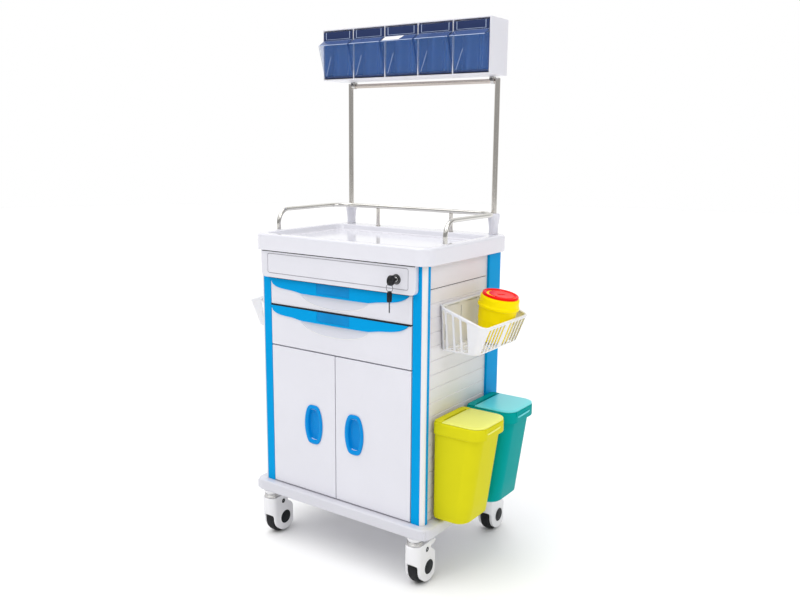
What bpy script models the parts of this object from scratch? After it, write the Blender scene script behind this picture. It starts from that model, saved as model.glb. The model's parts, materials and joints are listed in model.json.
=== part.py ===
"""Ward treatment trolley: a mobile plastic cabinet on four castors with a guard
rail, three drawers, a two-door cupboard, an overhead rack of tilt bins, side
baskets, a sharps container and two waste bins.

Metres, +Z up. The origin is on the floor under the middle of the whole
footprint, the front faces -Y and +X is the right-hand side as seen from the
front. The dimensions below are taken from the cabinet's own centre line, and
the finished pieces are moved by FOOTPRINT_SHIFT at the end."""

import math

import bmesh
import bpy
from mathutils import Matrix, Vector

# ---------------------------------------------------------------- dimensions
GAP = 0.0003            # clearance between pieces that touch

FOOTPRINT_SHIFT = -0.010    # along Y, from the cabinet's middle to the footprint's

BODY_X = 0.297          # half width over the corner posts
BODY_Y = 0.206          # half depth over the corner posts
POST_X = 0.257          # inner face of a post
PANEL_X = 0.289         # outer face of a side panel
FRAME_Z0 = 0.1823       # foot of posts and panels
FRAME_Z1 = 0.9342       # head of posts and panels

BASE_W, BASE_D = 0.646, 0.461
BASE_Z0, BASE_Z1 = 0.150, 0.182

DECK_W, DECK_D = 0.630, 0.452
DECK_Z0, DECK_Z1 = 0.908, 0.957
DECK_FLOOR = 0.939
DECK_CENTRE_Y = 0.0

RAIL_R = 0.006
RAIL_X = 0.300
RAIL_FRONT_Y = -0.120
RAIL_BACK_Y = 0.172
RAIL_Z = 1.019
RAIL_BEND = 0.042
RAIL_CORNER = 0.060

UPRIGHT_X, UPRIGHT_Y, UPRIGHT_R = 0.270, 0.200, 0.008
UPRIGHT_Z0, UPRIGHT_Z1 = 0.9655, 1.409
CROSSBAR_Z, CROSSBAR_R = 1.4005, 0.0068

RACK_X = 0.300
RACK_Y0, RACK_Y1 = 0.097, 0.199
RACK_Z0, RACK_Z1 = 1.413, 1.567
RACK_WALL = 0.003
RACK_CELLS = 5
TILT_PIVOT = (0.1065, 1.4275)   # y, z of the tilt bins' pivots
TILT_CORNER = 0.0095            # radius of the bin's lower front corner

FRONT_Y = -0.2075       # outer face of the flush fronts
FRONT_X = 0.2545        # half width of the flush fronts
TRAY_X = 0.2445         # half width of the drawer trays
TRAY_BACK_Y = 0.170
GRIP_SHIFT = 0.081      # distance between the two grip bands

TOP_FRONT = dict(x=0.279, y0=-0.2205, y1=-0.2073, z0=0.829, z1=0.9068)
MID_FRONT = dict(z0=0.7468, z1=0.8264)
LOW_FRONT = dict(z0=0.6226, z1=0.7440)
TOP_TRAY = dict(z0=0.836, z1=0.893)
MID_TRAY = dict(z0=0.756, z1=0.812)
LOW_TRAY = dict(z0=0.634, z1=0.732)

LOCK = (0.213, 0.868)   # x, z of the lock
KEY_HOLE = (-0.2555, 0.8585)   # y, z of the hole that the key ring hangs in

DOOR_Z0, DOOR_Z1 = 0.1856, 0.6145
DOOR_Y1 = -0.1915
DOOR_SPLIT = -0.010
DOOR_PIN = (0.2500, -0.2030)   # distance from the middle, y
HANDLES = {"left": -0.092, "right": 0.060}
HANDLE_Z = 0.3985

CASTOR_X = 0.272
CASTOR_FRONT_Y, CASTOR_REAR_Y = -0.206, 0.205
CASTOR_TRAIL = 0.034
WHEEL_R, WHEEL_W = 0.050, 0.030

BASKET_WALL_X = 0.2893
BASKET_TOP_X, BASKET_FOOT_X = 0.437, 0.406
BASKET_Y = (-0.134, 0.125)
BASKET_FOOT_Y = (-0.119, 0.112)
BASKET_Z = (0.665, 0.745, 0.795)    # foot, outer rim, rim at the wall
LEFT_BASKET_DROP = 0.0235
LEFT_BASKET_SHIFT = 0.0075

SHARPS_BASE = (0.360, 0.045, 0.6755)
SHARPS_TILT = math.radians(10.0)

WASTE_FRONT_Y = (-0.162, -0.008)
WASTE_REAR_Y = (0.014, 0.168)
WASTE_X = (0.2975, 0.452)
WASTE_Z = (0.192, 0.447, 0.476)
FLAP_HINGE = (0.326, 0.4735)    # x, z of the waste flaps' hinges

# ---------------------------------------------------------------- colours
WHITE = (0.80, 0.80, 0.86)
BLUE = (0.0, 0.31, 0.77)
LIME = (0.62, 0.68, 0.02)
TEAL = (0.0, 0.36, 0.33)
YELLOW = (0.90, 0.66, 0.0)
RED = (0.78, 0.02, 0.02)
BIN_BLUE = (0.07, 0.16, 0.42)
STEEL = (0.62, 0.60, 0.57)
BLACK = (0.012, 0.012, 0.013)
TYRE = (0.03, 0.03, 0.032)

# ---------------------------------------------------------------- scene
for old in list(bpy.data.objects):
    bpy.data.objects.remove(old, do_unlink=True)


def collection(name):
    group = bpy.data.collections.new(name)
    bpy.context.scene.collection.children.link(group)
    return group


PARTS = collection("treatment_trolley")
CUTTERS = collection("cutters")


def paint(obj, colour, roughness=0.35, metallic=0.0, alpha=1.0):
    mat = bpy.data.materials.new(obj.name + "_material")
    mat.use_nodes = True
    bsdf = mat.node_tree.nodes["Principled BSDF"]
    bsdf.inputs["Base Color"].default_value = (*colour, 1.0)
    bsdf.inputs["Roughness"].default_value = roughness
    bsdf.inputs["Metallic"].default_value = metallic
    bsdf.inputs["Alpha"].default_value = alpha
    obj.data.materials.clear()
    obj.data.materials.append(mat)
    return obj


def place(name, mesh, cutter=False, matrix=None):
    obj = bpy.data.objects.new(name, mesh)
    (CUTTERS if cutter else PARTS).objects.link(obj)
    if cutter:
        obj.hide_render = True
        obj.display_type = "WIRE"
    if matrix is not None:
        obj.matrix_world = matrix
    return obj


def box(name, xs, ys, zs, cutter=False, centre=None):
    """A box from its limits, with its origin at `centre` or at its middle."""
    size = Vector((xs[1] - xs[0], ys[1] - ys[0], zs[1] - zs[0]))
    middle = Vector((xs[0] + xs[1], ys[0] + ys[1], zs[0] + zs[1])) / 2
    origin = middle if centre is None else Vector(centre)
    bm = bmesh.new()
    bmesh.ops.create_cube(bm, size=1.0)
    bmesh.ops.scale(bm, vec=size, verts=bm.verts)
    bmesh.ops.translate(bm, vec=middle - origin, verts=bm.verts)
    mesh = bpy.data.meshes.new(name)
    bm.to_mesh(mesh)
    bm.free()
    return place(name, mesh, cutter, Matrix.Translation(origin))


def cylinder(name, radius, depth, matrix, steps=24, cutter=False, radius2=None):
    bm = bmesh.new()
    bmesh.ops.create_cone(bm, cap_ends=True, segments=steps, radius1=radius,
                          radius2=radius if radius2 is None else radius2, depth=depth)
    mesh = bpy.data.meshes.new(name)
    bm.to_mesh(mesh)
    bm.free()
    return place(name, mesh, cutter, matrix)


PLANES = {
    # the outline's own x and y axes and the direction of its thickness
    "xy": Matrix(((1, 0, 0), (0, 1, 0), (0, 0, 1))),
    "xz": Matrix(((1, 0, 0), (0, 0, -1), (0, 1, 0))),
    "yz": Matrix(((0, 0, 1), (1, 0, 0), (0, 1, 0))),
}


def plate(name, outlines, depth, plane, middle, cutter=False):
    """A flat outline (with holes) given thickness; `middle` is where the
    outline's own zero and the middle of the thickness are in the world."""
    curve = bpy.data.curves.new(name, "CURVE")
    curve.dimensions = "2D"
    curve.fill_mode = "BOTH"
    curve.extrude = depth / 2
    for outline in outlines:
        spline = curve.splines.new("POLY")
        spline.points.add(len(outline) - 1)
        for point, (u, v) in zip(spline.points, outline):
            point.co = (u, v, 0.0, 1.0)
        spline.use_cyclic_u = True
    obj = bpy.data.objects.new(name + "_outline", curve)
    PARTS.objects.link(obj)
    obj.matrix_world = Matrix.Translation(Vector(middle)) @ PLANES[plane].to_4x4()
    return meshed(obj, name, cutter)


def meshed(curve_obj, name, cutter=False):
    """Turns a curve object into a welded mesh object in the same place."""
    bpy.context.view_layer.update()
    graph = bpy.context.evaluated_depsgraph_get()
    mesh = bpy.data.meshes.new_from_object(curve_obj.evaluated_get(graph))
    mesh.name = name
    matrix = curve_obj.matrix_world.copy()
    bpy.data.objects.remove(curve_obj, do_unlink=True)
    bm = bmesh.new()
    bm.from_mesh(mesh)
    bmesh.ops.remove_doubles(bm, verts=bm.verts, dist=0.00001)
    bmesh.ops.recalc_face_normals(bm, faces=bm.faces)
    bm.to_mesh(mesh)
    bm.free()
    return place(name, mesh, cutter, matrix)


def tube(name, points, radius, cutter=False, resolution=2):
    curve = bpy.data.curves.new(name, "CURVE")
    curve.dimensions = "3D"
    curve.bevel_depth = radius
    curve.bevel_resolution = resolution
    curve.use_fill_caps = True
    spline = curve.splines.new("POLY")
    spline.points.add(len(points) - 1)
    for point, co in zip(spline.points, points):
        point.co = (*co, 1.0)
    obj = bpy.data.objects.new(name + "_path", curve)
    PARTS.objects.link(obj)
    return meshed(obj, name, cutter)


def lathe(name, profile, matrix, steps=24, closed=False, cutter=False):
    """A turned shape. The profile is (radius, height) down the outer side."""
    mesh = bpy.data.meshes.new(name)
    edges = [(i, i + 1) for i in range(len(profile) - 1)]
    if closed:
        edges.append((len(profile) - 1, 0))
    mesh.from_pydata([(r, 0.0, z) for r, z in profile], edges, [])
    obj = place(name, mesh, cutter, matrix)
    screw = obj.modifiers.new("turn", "SCREW")
    screw.axis = "Z"
    screw.steps = screw.render_steps = steps
    screw.use_merge_vertices = True
    screw.merge_threshold = 0.0001
    screw.use_smooth_shade = True
    return obj


def loft(name, rings, cutter=False, origin=(0, 0, 0)):
    """Joins rings of equally many points, one above the next, and caps the ends."""
    bm = bmesh.new()
    origin = Vector(origin)
    rows = [[bm.verts.new(Vector(p) - origin) for p in ring] for ring in rings]
    count = len(rows[0])
    for low, high in zip(rows, rows[1:]):
        for i in range(count):
            j = (i + 1) % count
            bm.faces.new((low[i], low[j], high[j], high[i]))
    bm.faces.new(rows[0][::-1])
    bm.faces.new(rows[-1])
    bmesh.ops.recalc_face_normals(bm, faces=bm.faces)
    mesh = bpy.data.meshes.new(name)
    bm.to_mesh(mesh)
    bm.free()
    return place(name, mesh, cutter, Matrix.Translation(origin))


def bevel(obj, width, segments=2, angle=50.0):
    mod = obj.modifiers.new("edges", "BEVEL")
    mod.width = width
    mod.segments = segments
    mod.limit_method = "ANGLE"
    mod.angle_limit = math.radians(angle)
    return obj


def boolean(obj, other, operation="DIFFERENCE"):
    mod = obj.modifiers.new(other.name, "BOOLEAN")
    mod.operation = operation
    mod.solver = "EXACT"
    mod.object = other
    return obj


def empty(name, location, rotation=(0, 0, 0)):
    obj = bpy.data.objects.new(name, None)
    PARTS.objects.link(obj)
    obj.empty_display_size = 0.02
    obj.location = location
    obj.rotation_euler = rotation
    bpy.context.view_layer.update()
    return obj


def hang(parent, *children):
    bpy.context.view_layer.update()
    for child in children:
        child.parent = parent
        child.matrix_parent_inverse = parent.matrix_world.inverted()


def round_rect(x0, x1, y0, y1, radius, steps=5):
    """A rectangle's outline with rounded corners, anticlockwise."""
    points = []
    for cx, cy, start in ((x1 - radius, y1 - radius, 0), (x0 + radius, y1 - radius, 90),
                          (x0 + radius, y0 + radius, 180), (x1 - radius, y0 + radius, 270)):
        for i in range(steps + 1):
            a = math.radians(start + 90 * i / steps)
            points.append((cx + radius * math.cos(a), cy + radius * math.sin(a)))
    return points


def arc(cx, cy, radius, start, end, steps):
    return [(cx + radius * math.cos(math.radians(start + (end - start) * i / steps)),
             cy + radius * math.sin(math.radians(start + (end - start) * i / steps)))
            for i in range(steps + 1)]


def mirror_x(obj):
    """Makes the mesh its own mirror image in the object's local YZ plane."""
    bm = bmesh.new()
    bm.from_mesh(obj.data)
    bmesh.ops.scale(bm, vec=Vector((-1, 1, 1)), verts=bm.verts)
    bmesh.ops.reverse_faces(bm, faces=bm.faces)
    bm.to_mesh(obj.data)
    bm.free()
    return obj


def turned(axis):
    """Rotation that lays a lathe's own Z axis along a world axis."""
    return {"x": Matrix.Rotation(math.radians(90), 4, "Y"),
            "-y": Matrix.Rotation(math.radians(90), 4, "X"),
            "z": Matrix.Identity(4)}[axis]


def open_tray(name, xs, ys, zs, wall=0.0025):
    """A box with no top and even walls, made inwards from its outer skin."""
    obj = box(name, xs, ys, zs)
    bm = bmesh.new()
    bm.from_mesh(obj.data)
    top = [f for f in bm.faces if f.normal.z > 0.9]
    bmesh.ops.delete(bm, geom=top, context="FACES_ONLY")
    bm.to_mesh(obj.data)
    bm.free()
    mod = obj.modifiers.new("walls", "SOLIDIFY")
    mod.thickness = wall
    mod.offset = -1.0
    mod.use_even_offset = True
    return obj


# ---------------------------------------------------------------- base and frame
base = plate("base_plate", [round_rect(-BASE_W / 2, BASE_W / 2, -BASE_D / 2, BASE_D / 2, 0.035)],
             BASE_Z1 - BASE_Z0, "xy", (0, 0, (BASE_Z0 + BASE_Z1) / 2))
bevel(base, 0.0035, 2)
paint(base, WHITE)
cross = [(0.318, -0.150), (0.318, 0.150), (0.225, 0.155), (0.220, 0.2255), (-0.220, 0.2255),
         (-0.225, 0.155), (-0.318, 0.150), (-0.318, -0.150), (-0.225, -0.155),
         (-0.220, -0.2255), (0.220, -0.2255), (0.225, -0.155)]
boolean(base, plate("base_hollow", [cross], 0.040, "xy", (0, 0, BASE_Z1 - 0.0045 - 0.020), cutter=True))

front_section = [(0.257, -0.206), (0.285, -0.206), (0.2912, -0.2043), (0.2956, -0.1992),
                 (0.297, -0.192), (0.297, -0.182), (0.257, -0.182)]
rear_section = [(0.257, 0.133), (0.297, 0.133), (0.297, 0.200), (0.2950, 0.2050),
                (0.290, 0.207), (0.257, 0.207)]
for side, sign in (("left", -1), ("right", 1)):
    for end, section in (("front", front_section), ("rear", rear_section)):
        outline = [(sign * x, y) for x, y in section]
        post = plate(f"post_{end}_{side}", [outline], FRAME_Z1 - FRAME_Z0, "xy",
                     (0, 0, (FRAME_Z0 + FRAME_Z1) / 2))
        paint(post, BLUE)
    # grooved side panel, an upright section drawn out along y
    x0, x1 = PANEL_X - 0.003, PANEL_X
    outer = [(x1, FRAME_Z0)]
    groove = FRAME_Z0 + 0.0262
    while groove < FRAME_Z1 - 0.08:
        outer += [(x1, groove - 0.0014), (x1 - 0.0011, groove), (x1, groove + 0.0014)]
        groove += 0.0395
    outer += [(x1, FRAME_Z1)]
    outline = [(-x, z) for x, z in [(x0, FRAME_Z1), (x0, FRAME_Z0)] + outer]
    y0, y1 = -0.182 + GAP, 0.133 - GAP
    panel = plate(f"side_panel_{side}", [outline], y1 - y0, "xz", (0, (y0 + y1) / 2, 0))
    if sign > 0:
        mirror_x(panel)
    paint(panel, WHITE)
    # drawer runner: an upright web with one ledge under each drawer
    web0, web1, lip = POST_X - GAP, POST_X - 0.0045, 0.2365
    comb = [(web0, 0.6232), (web0, 0.925), (web1, 0.925)]
    for tray in (TOP_TRAY, MID_TRAY, LOW_TRAY):
        top = tray["z0"] - 0.0006
        comb += [(web1, top), (lip, top), (lip, top - 0.003), (web1, top - 0.003)]
    comb += [(web1, 0.6232)]
    outline = [(sign * x, z) for x, z in comb]
    runner = plate(f"drawer_runner_{side}", [outline], 0.388, "xz", (0, 0.006, 0))
    paint(runner, STEEL, 0.3, 1.0)

back = box("back_panel", (-POST_X + GAP, POST_X - GAP), (0.2016, 0.2046), (FRAME_Z0, FRAME_Z1))
paint(back, WHITE)
rear_half = [(0.2857, 0.1325), (0.2567, 0.1325), (0.2567, 0.2012)]
divider_outline = ([(0.2567, -0.1900), (0.2567, -0.1814), (0.2857, -0.1814)] + rear_half)
divider = plate("drawer_floor", [divider_outline + [(-x, y) for x, y in divider_outline[::-1]]],
                0.006, "xy", (0, 0, 0.6195))
paint(divider, WHITE)
shelf_outline = [(0.2857, -0.1680)] + rear_half
shelf = plate("cupboard_shelf", [shelf_outline + [(-x, y) for x, y in shelf_outline[::-1]]],
              0.006, "xy", (0, 0, 0.403))
paint(shelf, WHITE)

# ---------------------------------------------------------------- top deck
deck = plate("top_deck", [round_rect(-DECK_W / 2, DECK_W / 2, -DECK_D / 2, DECK_D / 2, 0.045, 7)],
             DECK_Z1 - DECK_Z0, "xy", (0, 0, (DECK_Z0 + DECK_Z1) / 2))
bevel(deck, 0.007, 3)
boolean(deck, plate("deck_basin", [round_rect(-0.283, 0.283, -0.197, 0.148, 0.030)], 0.040, "xy",
                    (0, 0, DECK_FLOOR + 0.020), cutter=True))
boolean(deck, plate("deck_underside", [round_rect(-0.3015, 0.3015, -0.2115, 0.2115, 0.010, 2)],
                    0.060, "xy", (0, 0, FRAME_Z1 + GAP - 0.030), cutter=True))
paint(deck, WHITE, 0.2)

# ---------------------------------------------------------------- guard rail
rail_half = [(RAIL_FRONT_Y, DECK_Z1 + GAP)]
rail_half += [(RAIL_FRONT_Y + RAIL_BEND - RAIL_BEND * math.cos(math.radians(a)),
               RAIL_Z - RAIL_BEND + RAIL_BEND * math.sin(math.radians(a)))
              for a in (0, 22.5, 45, 67.5, 90)]
path = [(RAIL_X, y, z) for y, z in rail_half]
path += [(x, y, RAIL_Z) for x, y in arc(RAIL_X - RAIL_CORNER, RAIL_BACK_Y - RAIL_CORNER,
                                        RAIL_CORNER, 0, 90, 6)]
path += [(-x, y, z) for x, y, z in path[::-1]]
rail = tube("guard_rail", path, RAIL_R)
for side, x in (("left", -0.138), ("right", 0.138)):
    low, high = DECK_Z1 + GAP, RAIL_Z
    boolean(rail, cylinder("rail_post_" + side, 0.0053, high - low,
                           Matrix.Translation((x, RAIL_BACK_Y, (low + high) / 2)), 10, cutter=True),
            "UNION")
paint(rail, STEEL, 0.2, 1.0)

# ---------------------------------------------------------------- rack frame and housing
for side, sign in (("left", -1), ("right", 1)):
    z0 = DECK_Z1 + GAP
    socket = lathe(f"rack_socket_{side}",
                   [(0.0, 0.965), (0.0086, 0.965), (0.0086, 1.018), (0.0180, 1.018), (0.0185, 1.006),
                    (0.0160, 0.990), (0.0140, 0.972), (0.0140, z0), (0.0, z0)],
                   Matrix.Translation((sign * UPRIGHT_X, UPRIGHT_Y, 0)), 20)
    paint(socket, WHITE)

frame = cylinder("rack_frame", UPRIGHT_R, UPRIGHT_Z1 - UPRIGHT_Z0,
                 Matrix.Translation((-UPRIGHT_X, UPRIGHT_Y, (UPRIGHT_Z0 + UPRIGHT_Z1) / 2)), 16)
boolean(frame, cylinder("frame_crossbar", CROSSBAR_R, 2 * UPRIGHT_X,
                        Matrix.Translation((0, UPRIGHT_Y, CROSSBAR_Z)) @ turned("x"), 12, cutter=True),
        "UNION")
boolean(frame, cylinder("frame_upright_right", UPRIGHT_R, UPRIGHT_Z1 - UPRIGHT_Z0,
                        Matrix.Translation((UPRIGHT_X, UPRIGHT_Y, (UPRIGHT_Z0 + UPRIGHT_Z1) / 2)),
                        16, cutter=True), "UNION")
for side, sign in (("left", -1), ("right", 1)):
    boolean(frame, box("frame_lug_" + side, sorted((sign * 0.249, sign * 0.261)), (0.186, 0.2005),
                       (1.3965, RACK_Z0 - GAP), cutter=True), "UNION")
paint(frame, STEEL, 0.2, 1.0)

housing = box("rack_housing", (-RACK_X, RACK_X), (RACK_Y0, RACK_Y1), (RACK_Z0, RACK_Z1))
pitch = (2 * RACK_X - RACK_WALL) / RACK_CELLS
for i in range(RACK_CELLS):
    x0 = -RACK_X + RACK_WALL + i * pitch
    boolean(housing, box(f"rack_cell_{i + 1}", (x0, x0 + pitch - RACK_WALL), (0.05, RACK_Y1 - 0.003),
                         (RACK_Z0 + 0.0035, RACK_Z1 - 0.0035), cutter=True))
paint(housing, WHITE)

# a tilt bin's section in y and z, from its bottom rear corner round the front
py, pz = TILT_PIVOT
skin = [(0.150, RACK_Z0 + 0.0047)]
skin += [(py + (TILT_CORNER - 0.0005) * math.cos(math.radians(a)),
          pz + (TILT_CORNER - 0.0005) * math.sin(math.radians(a))) for a in (270, 247.5, 225, 202.5, 184)]
skin += [(0.0700, 1.5165), (0.0965, 1.5330), (0.0965, 1.5590), (0.0995, 1.5590)]
wall = 0.0018
core = [(0.0995, 1.60), (0.0995, 1.5322), (0.0742, 1.5160), (0.0997, 1.428), (0.1075, 1.4195 + 0.0010),
        (0.1488, 1.4195 + 0.0010), (0.1855 - wall, 1.5300), (0.1855 - wall, 1.60)]
skin_outline = skin + [(0.1855, 1.5590), (0.1855, 1.5300)]
for i in range(RACK_CELLS):
    x0 = -RACK_X + RACK_WALL + i * pitch + 0.0008
    x1 = x0 + pitch - RACK_WALL - 0.0016
    middle = (x0 + x1) / 2
    hinge = empty(f"tilt_axis_{i + 1}", (middle, py, pz))
    body = plate(f"tilt_bin_{i + 1}", [skin_outline], x1 - x0, "yz", (middle, 0, 0))
    void = plate(f"tilt_void_{i + 1}", [core], x1 - x0 - 0.0036, "yz", (middle, 0, 0), cutter=True)
    boolean(body, void)
    # the rear of the open top is cut down so that the bin clears its cell as it tilts
    boolean(body, box(f"tilt_clear_{i + 1}", (x0 - 0.01, x1 + 0.01), (0.130, 0.20), (1.533, 1.60),
                      cutter=True))
    paint(body, BIN_BLUE, 0.15, 0.0, 0.75)
    hang(hinge, body)

# ---------------------------------------------------------------- drawers
GRIP = [(-0.254, 0.8255), (-0.249, 0.812), (-0.243, 0.8055), (-0.225, 0.7985), (-0.197, 0.796),
        (-0.162, 0.794), (-0.137, 0.7895), (-0.120, 0.789), (0.105, 0.789), (0.121, 0.7915),
        (0.147, 0.7965), (0.186, 0.800), (0.217, 0.806), (0.236, 0.815), (0.248, 0.8255)]


def grip_drawer(name, front, tray, drop):
    """A flush drawer: white front with a scooped dish, blue grip band, tray."""
    axis = empty(f"{name}_drawer_slide", (0, FRONT_Y, (front["z0"] + front["z1"]) / 2))
    panel = box(f"{name}_drawer_front", (-FRONT_X, FRONT_X), (FRONT_Y, -0.1935), (front["z0"], front["z1"]))
    bevel(panel, 0.0012, 1)
    bm = bmesh.new()
    bmesh.ops.create_uvsphere(bm, u_segments=24, v_segments=12, radius=1.0)
    bmesh.ops.scale(bm, vec=Vector((0.137, 0.0112, 0.037)), verts=bm.verts)
    mesh = bpy.data.meshes.new("scoop")
    bm.to_mesh(mesh)
    bm.free()
    scoop = place(f"{name}_scoop", mesh, True, Matrix.Translation((0.0, FRONT_Y - 0.0007, 0.790 - drop)))
    boolean(panel, scoop)
    outline = [(x, z - drop) for x, z in GRIP]
    grown = ([(-0.2543, 0.8275), (-0.2543, 0.8255), (-0.2495, 0.8115), (-0.2433, 0.8050), (-0.2252, 0.7980),
              (-0.197, 0.7955), (-0.162, 0.7935), (-0.137, 0.7890), (-0.120, 0.7885), (0.105, 0.7885),
              (0.1212, 0.7910), (0.1472, 0.7960), (0.1862, 0.7995), (0.2173, 0.8055), (0.2364, 0.8147),
              (0.2485, 0.8253), (0.2485, 0.8275)])
    seat = plate(f"{name}_grip_seat", [[(x, z - drop) for x, z in grown]], 0.020, "xz",
                 (0, FRONT_Y + 0.004 - 0.010, 0), cutter=True)
    boolean(panel, seat)
    paint(panel, WHITE)
    grip = plate(f"{name}_drawer_grip", [outline], 0.0066, "xz", (0, FRONT_Y + 0.0037 - 0.0033, 0))
    bevel(grip, 0.0008, 1)
    paint(grip, BLUE)
    bucket = open_tray(f"{name}_drawer_tray", (-TRAY_X, TRAY_X), (-0.1932, TRAY_BACK_Y),
                       (tray["z0"], tray["z1"]))
    paint(bucket, WHITE, 0.45)
    hang(axis, panel, grip, bucket)
    return axis


grip_drawer("middle", MID_FRONT, MID_TRAY, 0.0)
grip_drawer("lower", LOW_FRONT, LOW_TRAY, GRIP_SHIFT)

top_axis = empty("top_drawer_slide", (0, TOP_FRONT["y0"], (TOP_FRONT["z0"] + TOP_FRONT["z1"]) / 2))
thick = TOP_FRONT["y1"] - TOP_FRONT["y0"]
x1, z0, z1 = TOP_FRONT["x"], TOP_FRONT["z0"], TOP_FRONT["z1"]
outline = ([(x1, z1), (-x1, z1)] + arc(-x1 + 0.015, z0 + 0.015, 0.015, 180, 270, 4)
           + arc(x1 - 0.015, z0 + 0.015, 0.015, 270, 360, 4))
top_front = plate("top_drawer_front", [outline], thick, "xz",
                  (0, (TOP_FRONT["y0"] + TOP_FRONT["y1"]) / 2, 0))
bevel(top_front, 0.0012, 1)
frame_out = round_rect(-0.2545, 0.2515, 0.8410, 0.9005, 0.003, 1)
frame_in = round_rect(-0.2525, 0.2495, 0.8430, 0.8985, 0.002, 1)
boolean(top_front, plate("top_groove", [frame_out, frame_in], 0.0024, "xz",
                         (0, TOP_FRONT["y0"], 0), cutter=True))
lx, lz = LOCK
boolean(top_front, cylinder("lock_bore", 0.0098, 0.04,
                            Matrix.Translation((lx, TOP_FRONT["y0"], lz)) @ turned("-y"), 20, cutter=True))
paint(top_front, WHITE)
top_tray = open_tray("top_drawer_tray", (-TRAY_X, TRAY_X), (TOP_FRONT["y1"] + GAP, TRAY_BACK_Y),
                     (TOP_TRAY["z0"], TOP_TRAY["z1"]))
boolean(top_tray, cylinder("tray_lock_bore", 0.0098, 0.012,
                           Matrix.Translation((lx, TOP_FRONT["y1"] + 0.001, lz)) @ turned("-y"), 20,
                           cutter=True))
paint(top_tray, WHITE, 0.45)

# the lock: a flanged barrel in the front, the turning plug with its key, and a spare on a ring
y_face = TOP_FRONT["y0"]
barrel = lathe("lock_barrel",
               [(0.0062, 0.0030), (0.0118, 0.0030), (0.0125, 0.0020), (0.0125, GAP), (0.0095, GAP),
                (0.0095, -0.022), (0.0062, -0.022)],
               Matrix.Translation((lx, y_face, lz)) @ turned("-y"), 20, closed=True)
paint(barrel, STEEL, 0.3, 1.0)
plug_axis = empty("lock_axis", (lx, y_face, lz))
plug = cylinder("lock_plug", 0.0059, 0.026, Matrix.Translation((lx, y_face + 0.0105, lz)) @ turned("-y"), 16,
                cutter=True)
key_outline = [(y_face - 0.0020, lz + 0.0035), (y_face - 0.0120, lz + 0.0035)]
key_outline += arc(y_face - 0.0250, lz, 0.0140, 14.5, 345.5, 14)
key_outline += [(y_face - 0.0120, lz - 0.0035), (y_face - 0.0020, lz - 0.0035)]
hole = arc(KEY_HOLE[0] + 0.004, KEY_HOLE[1] + 0.0005, 0.0026, 0, 315, 7)
key = plate("lock_key", [key_outline, hole], 0.0074, "yz", (lx, 0, 0))
boolean(key, plug, "UNION")
paint(key, BLACK, 0.4)
hang(plug_axis, key)

ring_y, ring_top = KEY_HOLE[0] + 0.004, KEY_HOLE[1] + 0.0005
ring_axis = empty("key_ring_axis", (lx, ring_y, ring_top))
RING_R = 0.0105
WIRE_R = 0.0008
wire = [(RING_R + WIRE_R * math.cos(math.radians(a)), WIRE_R * math.sin(math.radians(a)))
        for a in range(60, -300, -60)]
ring = lathe("spare_key_ring", wire,
             Matrix.Translation((lx, ring_y, ring_top - RING_R)) @ turned("-y"), 20, closed=True)
bow_top = ring_top - 2 * RING_R + 0.0035
spare = arc(ring_y, bow_top - 0.0095, 0.0095, 180, 0, 8)
spare += [(ring_y + 0.0095, bow_top - 0.0125), (ring_y + 0.0080, bow_top - 0.0140),
          (ring_y - 0.0080, bow_top - 0.0140), (ring_y - 0.0095, bow_top - 0.0125)]
spare_blank = plate("spare_key_blank", [spare], 0.0050, "yz", (lx + 0.0002, 0.0003, 0), cutter=True)
boolean(ring, spare_blank, "UNION")
paint(ring, BLACK, 0.4)
hang(ring_axis, ring)
hang(plug_axis, ring_axis)
hang(top_axis, top_front, top_tray, barrel, plug_axis)

# ---------------------------------------------------------------- doors
HANDLE_OUT = [(-0.012, 0.0600), (0.012, 0.0600), (0.0215, 0.0540), (0.0290, 0.0360), (0.0335, 0.0140),
              (0.0335, -0.0140), (0.0290, -0.0360), (0.0215, -0.0540), (0.012, -0.0600),
              (-0.012, -0.0600), (-0.0215, -0.0540), (-0.0290, -0.0360), (-0.0335, -0.0140),
              (-0.0335, 0.0140), (-0.0290, 0.0360), (-0.0215, 0.0540)]
for side, sign in (("left", -1), ("right", 1)):
    xs = sorted((sign * FRONT_X, DOOR_SPLIT + (0.0012 if sign > 0 else -0.0012)))
    pin = (sign * DOOR_PIN[0], DOOR_PIN[1])
    axis = empty(f"door_axis_{side}", (pin[0], pin[1], (DOOR_Z0 + DOOR_Z1) / 2))
    door = box(f"door_{side}", xs, (FRONT_Y, DOOR_Y1), (DOOR_Z0, DOOR_Z1))
    bevel(door, 0.0012, 1)
    hx = HANDLES[side]
    boolean(door, plate(f"door_pocket_{side}", [round_rect(-0.0213, 0.0213, -0.0463, 0.0463, 0.0203, 4)], 0.020,
                        "xz", (hx, FRONT_Y + 0.0123 - 0.010, HANDLE_Z), cutter=True))
    paint(door, WHITE)
    handle = plate(f"door_handle_{side}", [HANDLE_OUT], 0.0045, "xz", (hx, FRONT_Y - GAP - 0.00225, HANDLE_Z))
    bevel(handle, 0.0015, 2, 60)
    boolean(handle, plate(f"handle_cup_{side}", [round_rect(-0.021, 0.021, -0.046, 0.046, 0.020, 4)], 0.0145,
                          "xz", (hx, FRONT_Y + 0.0120 - 0.00725, HANDLE_Z), cutter=True), "UNION")
    boolean(handle, plate(f"handle_recess_{side}", [round_rect(-0.019, 0.019, -0.044, 0.044, 0.018, 4)], 0.0260,
                          "xz", (hx, FRONT_Y + 0.0100 - 0.0130, HANDLE_Z), cutter=True))
    paint(handle, BLUE)
    hang(axis, door, handle)

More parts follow.
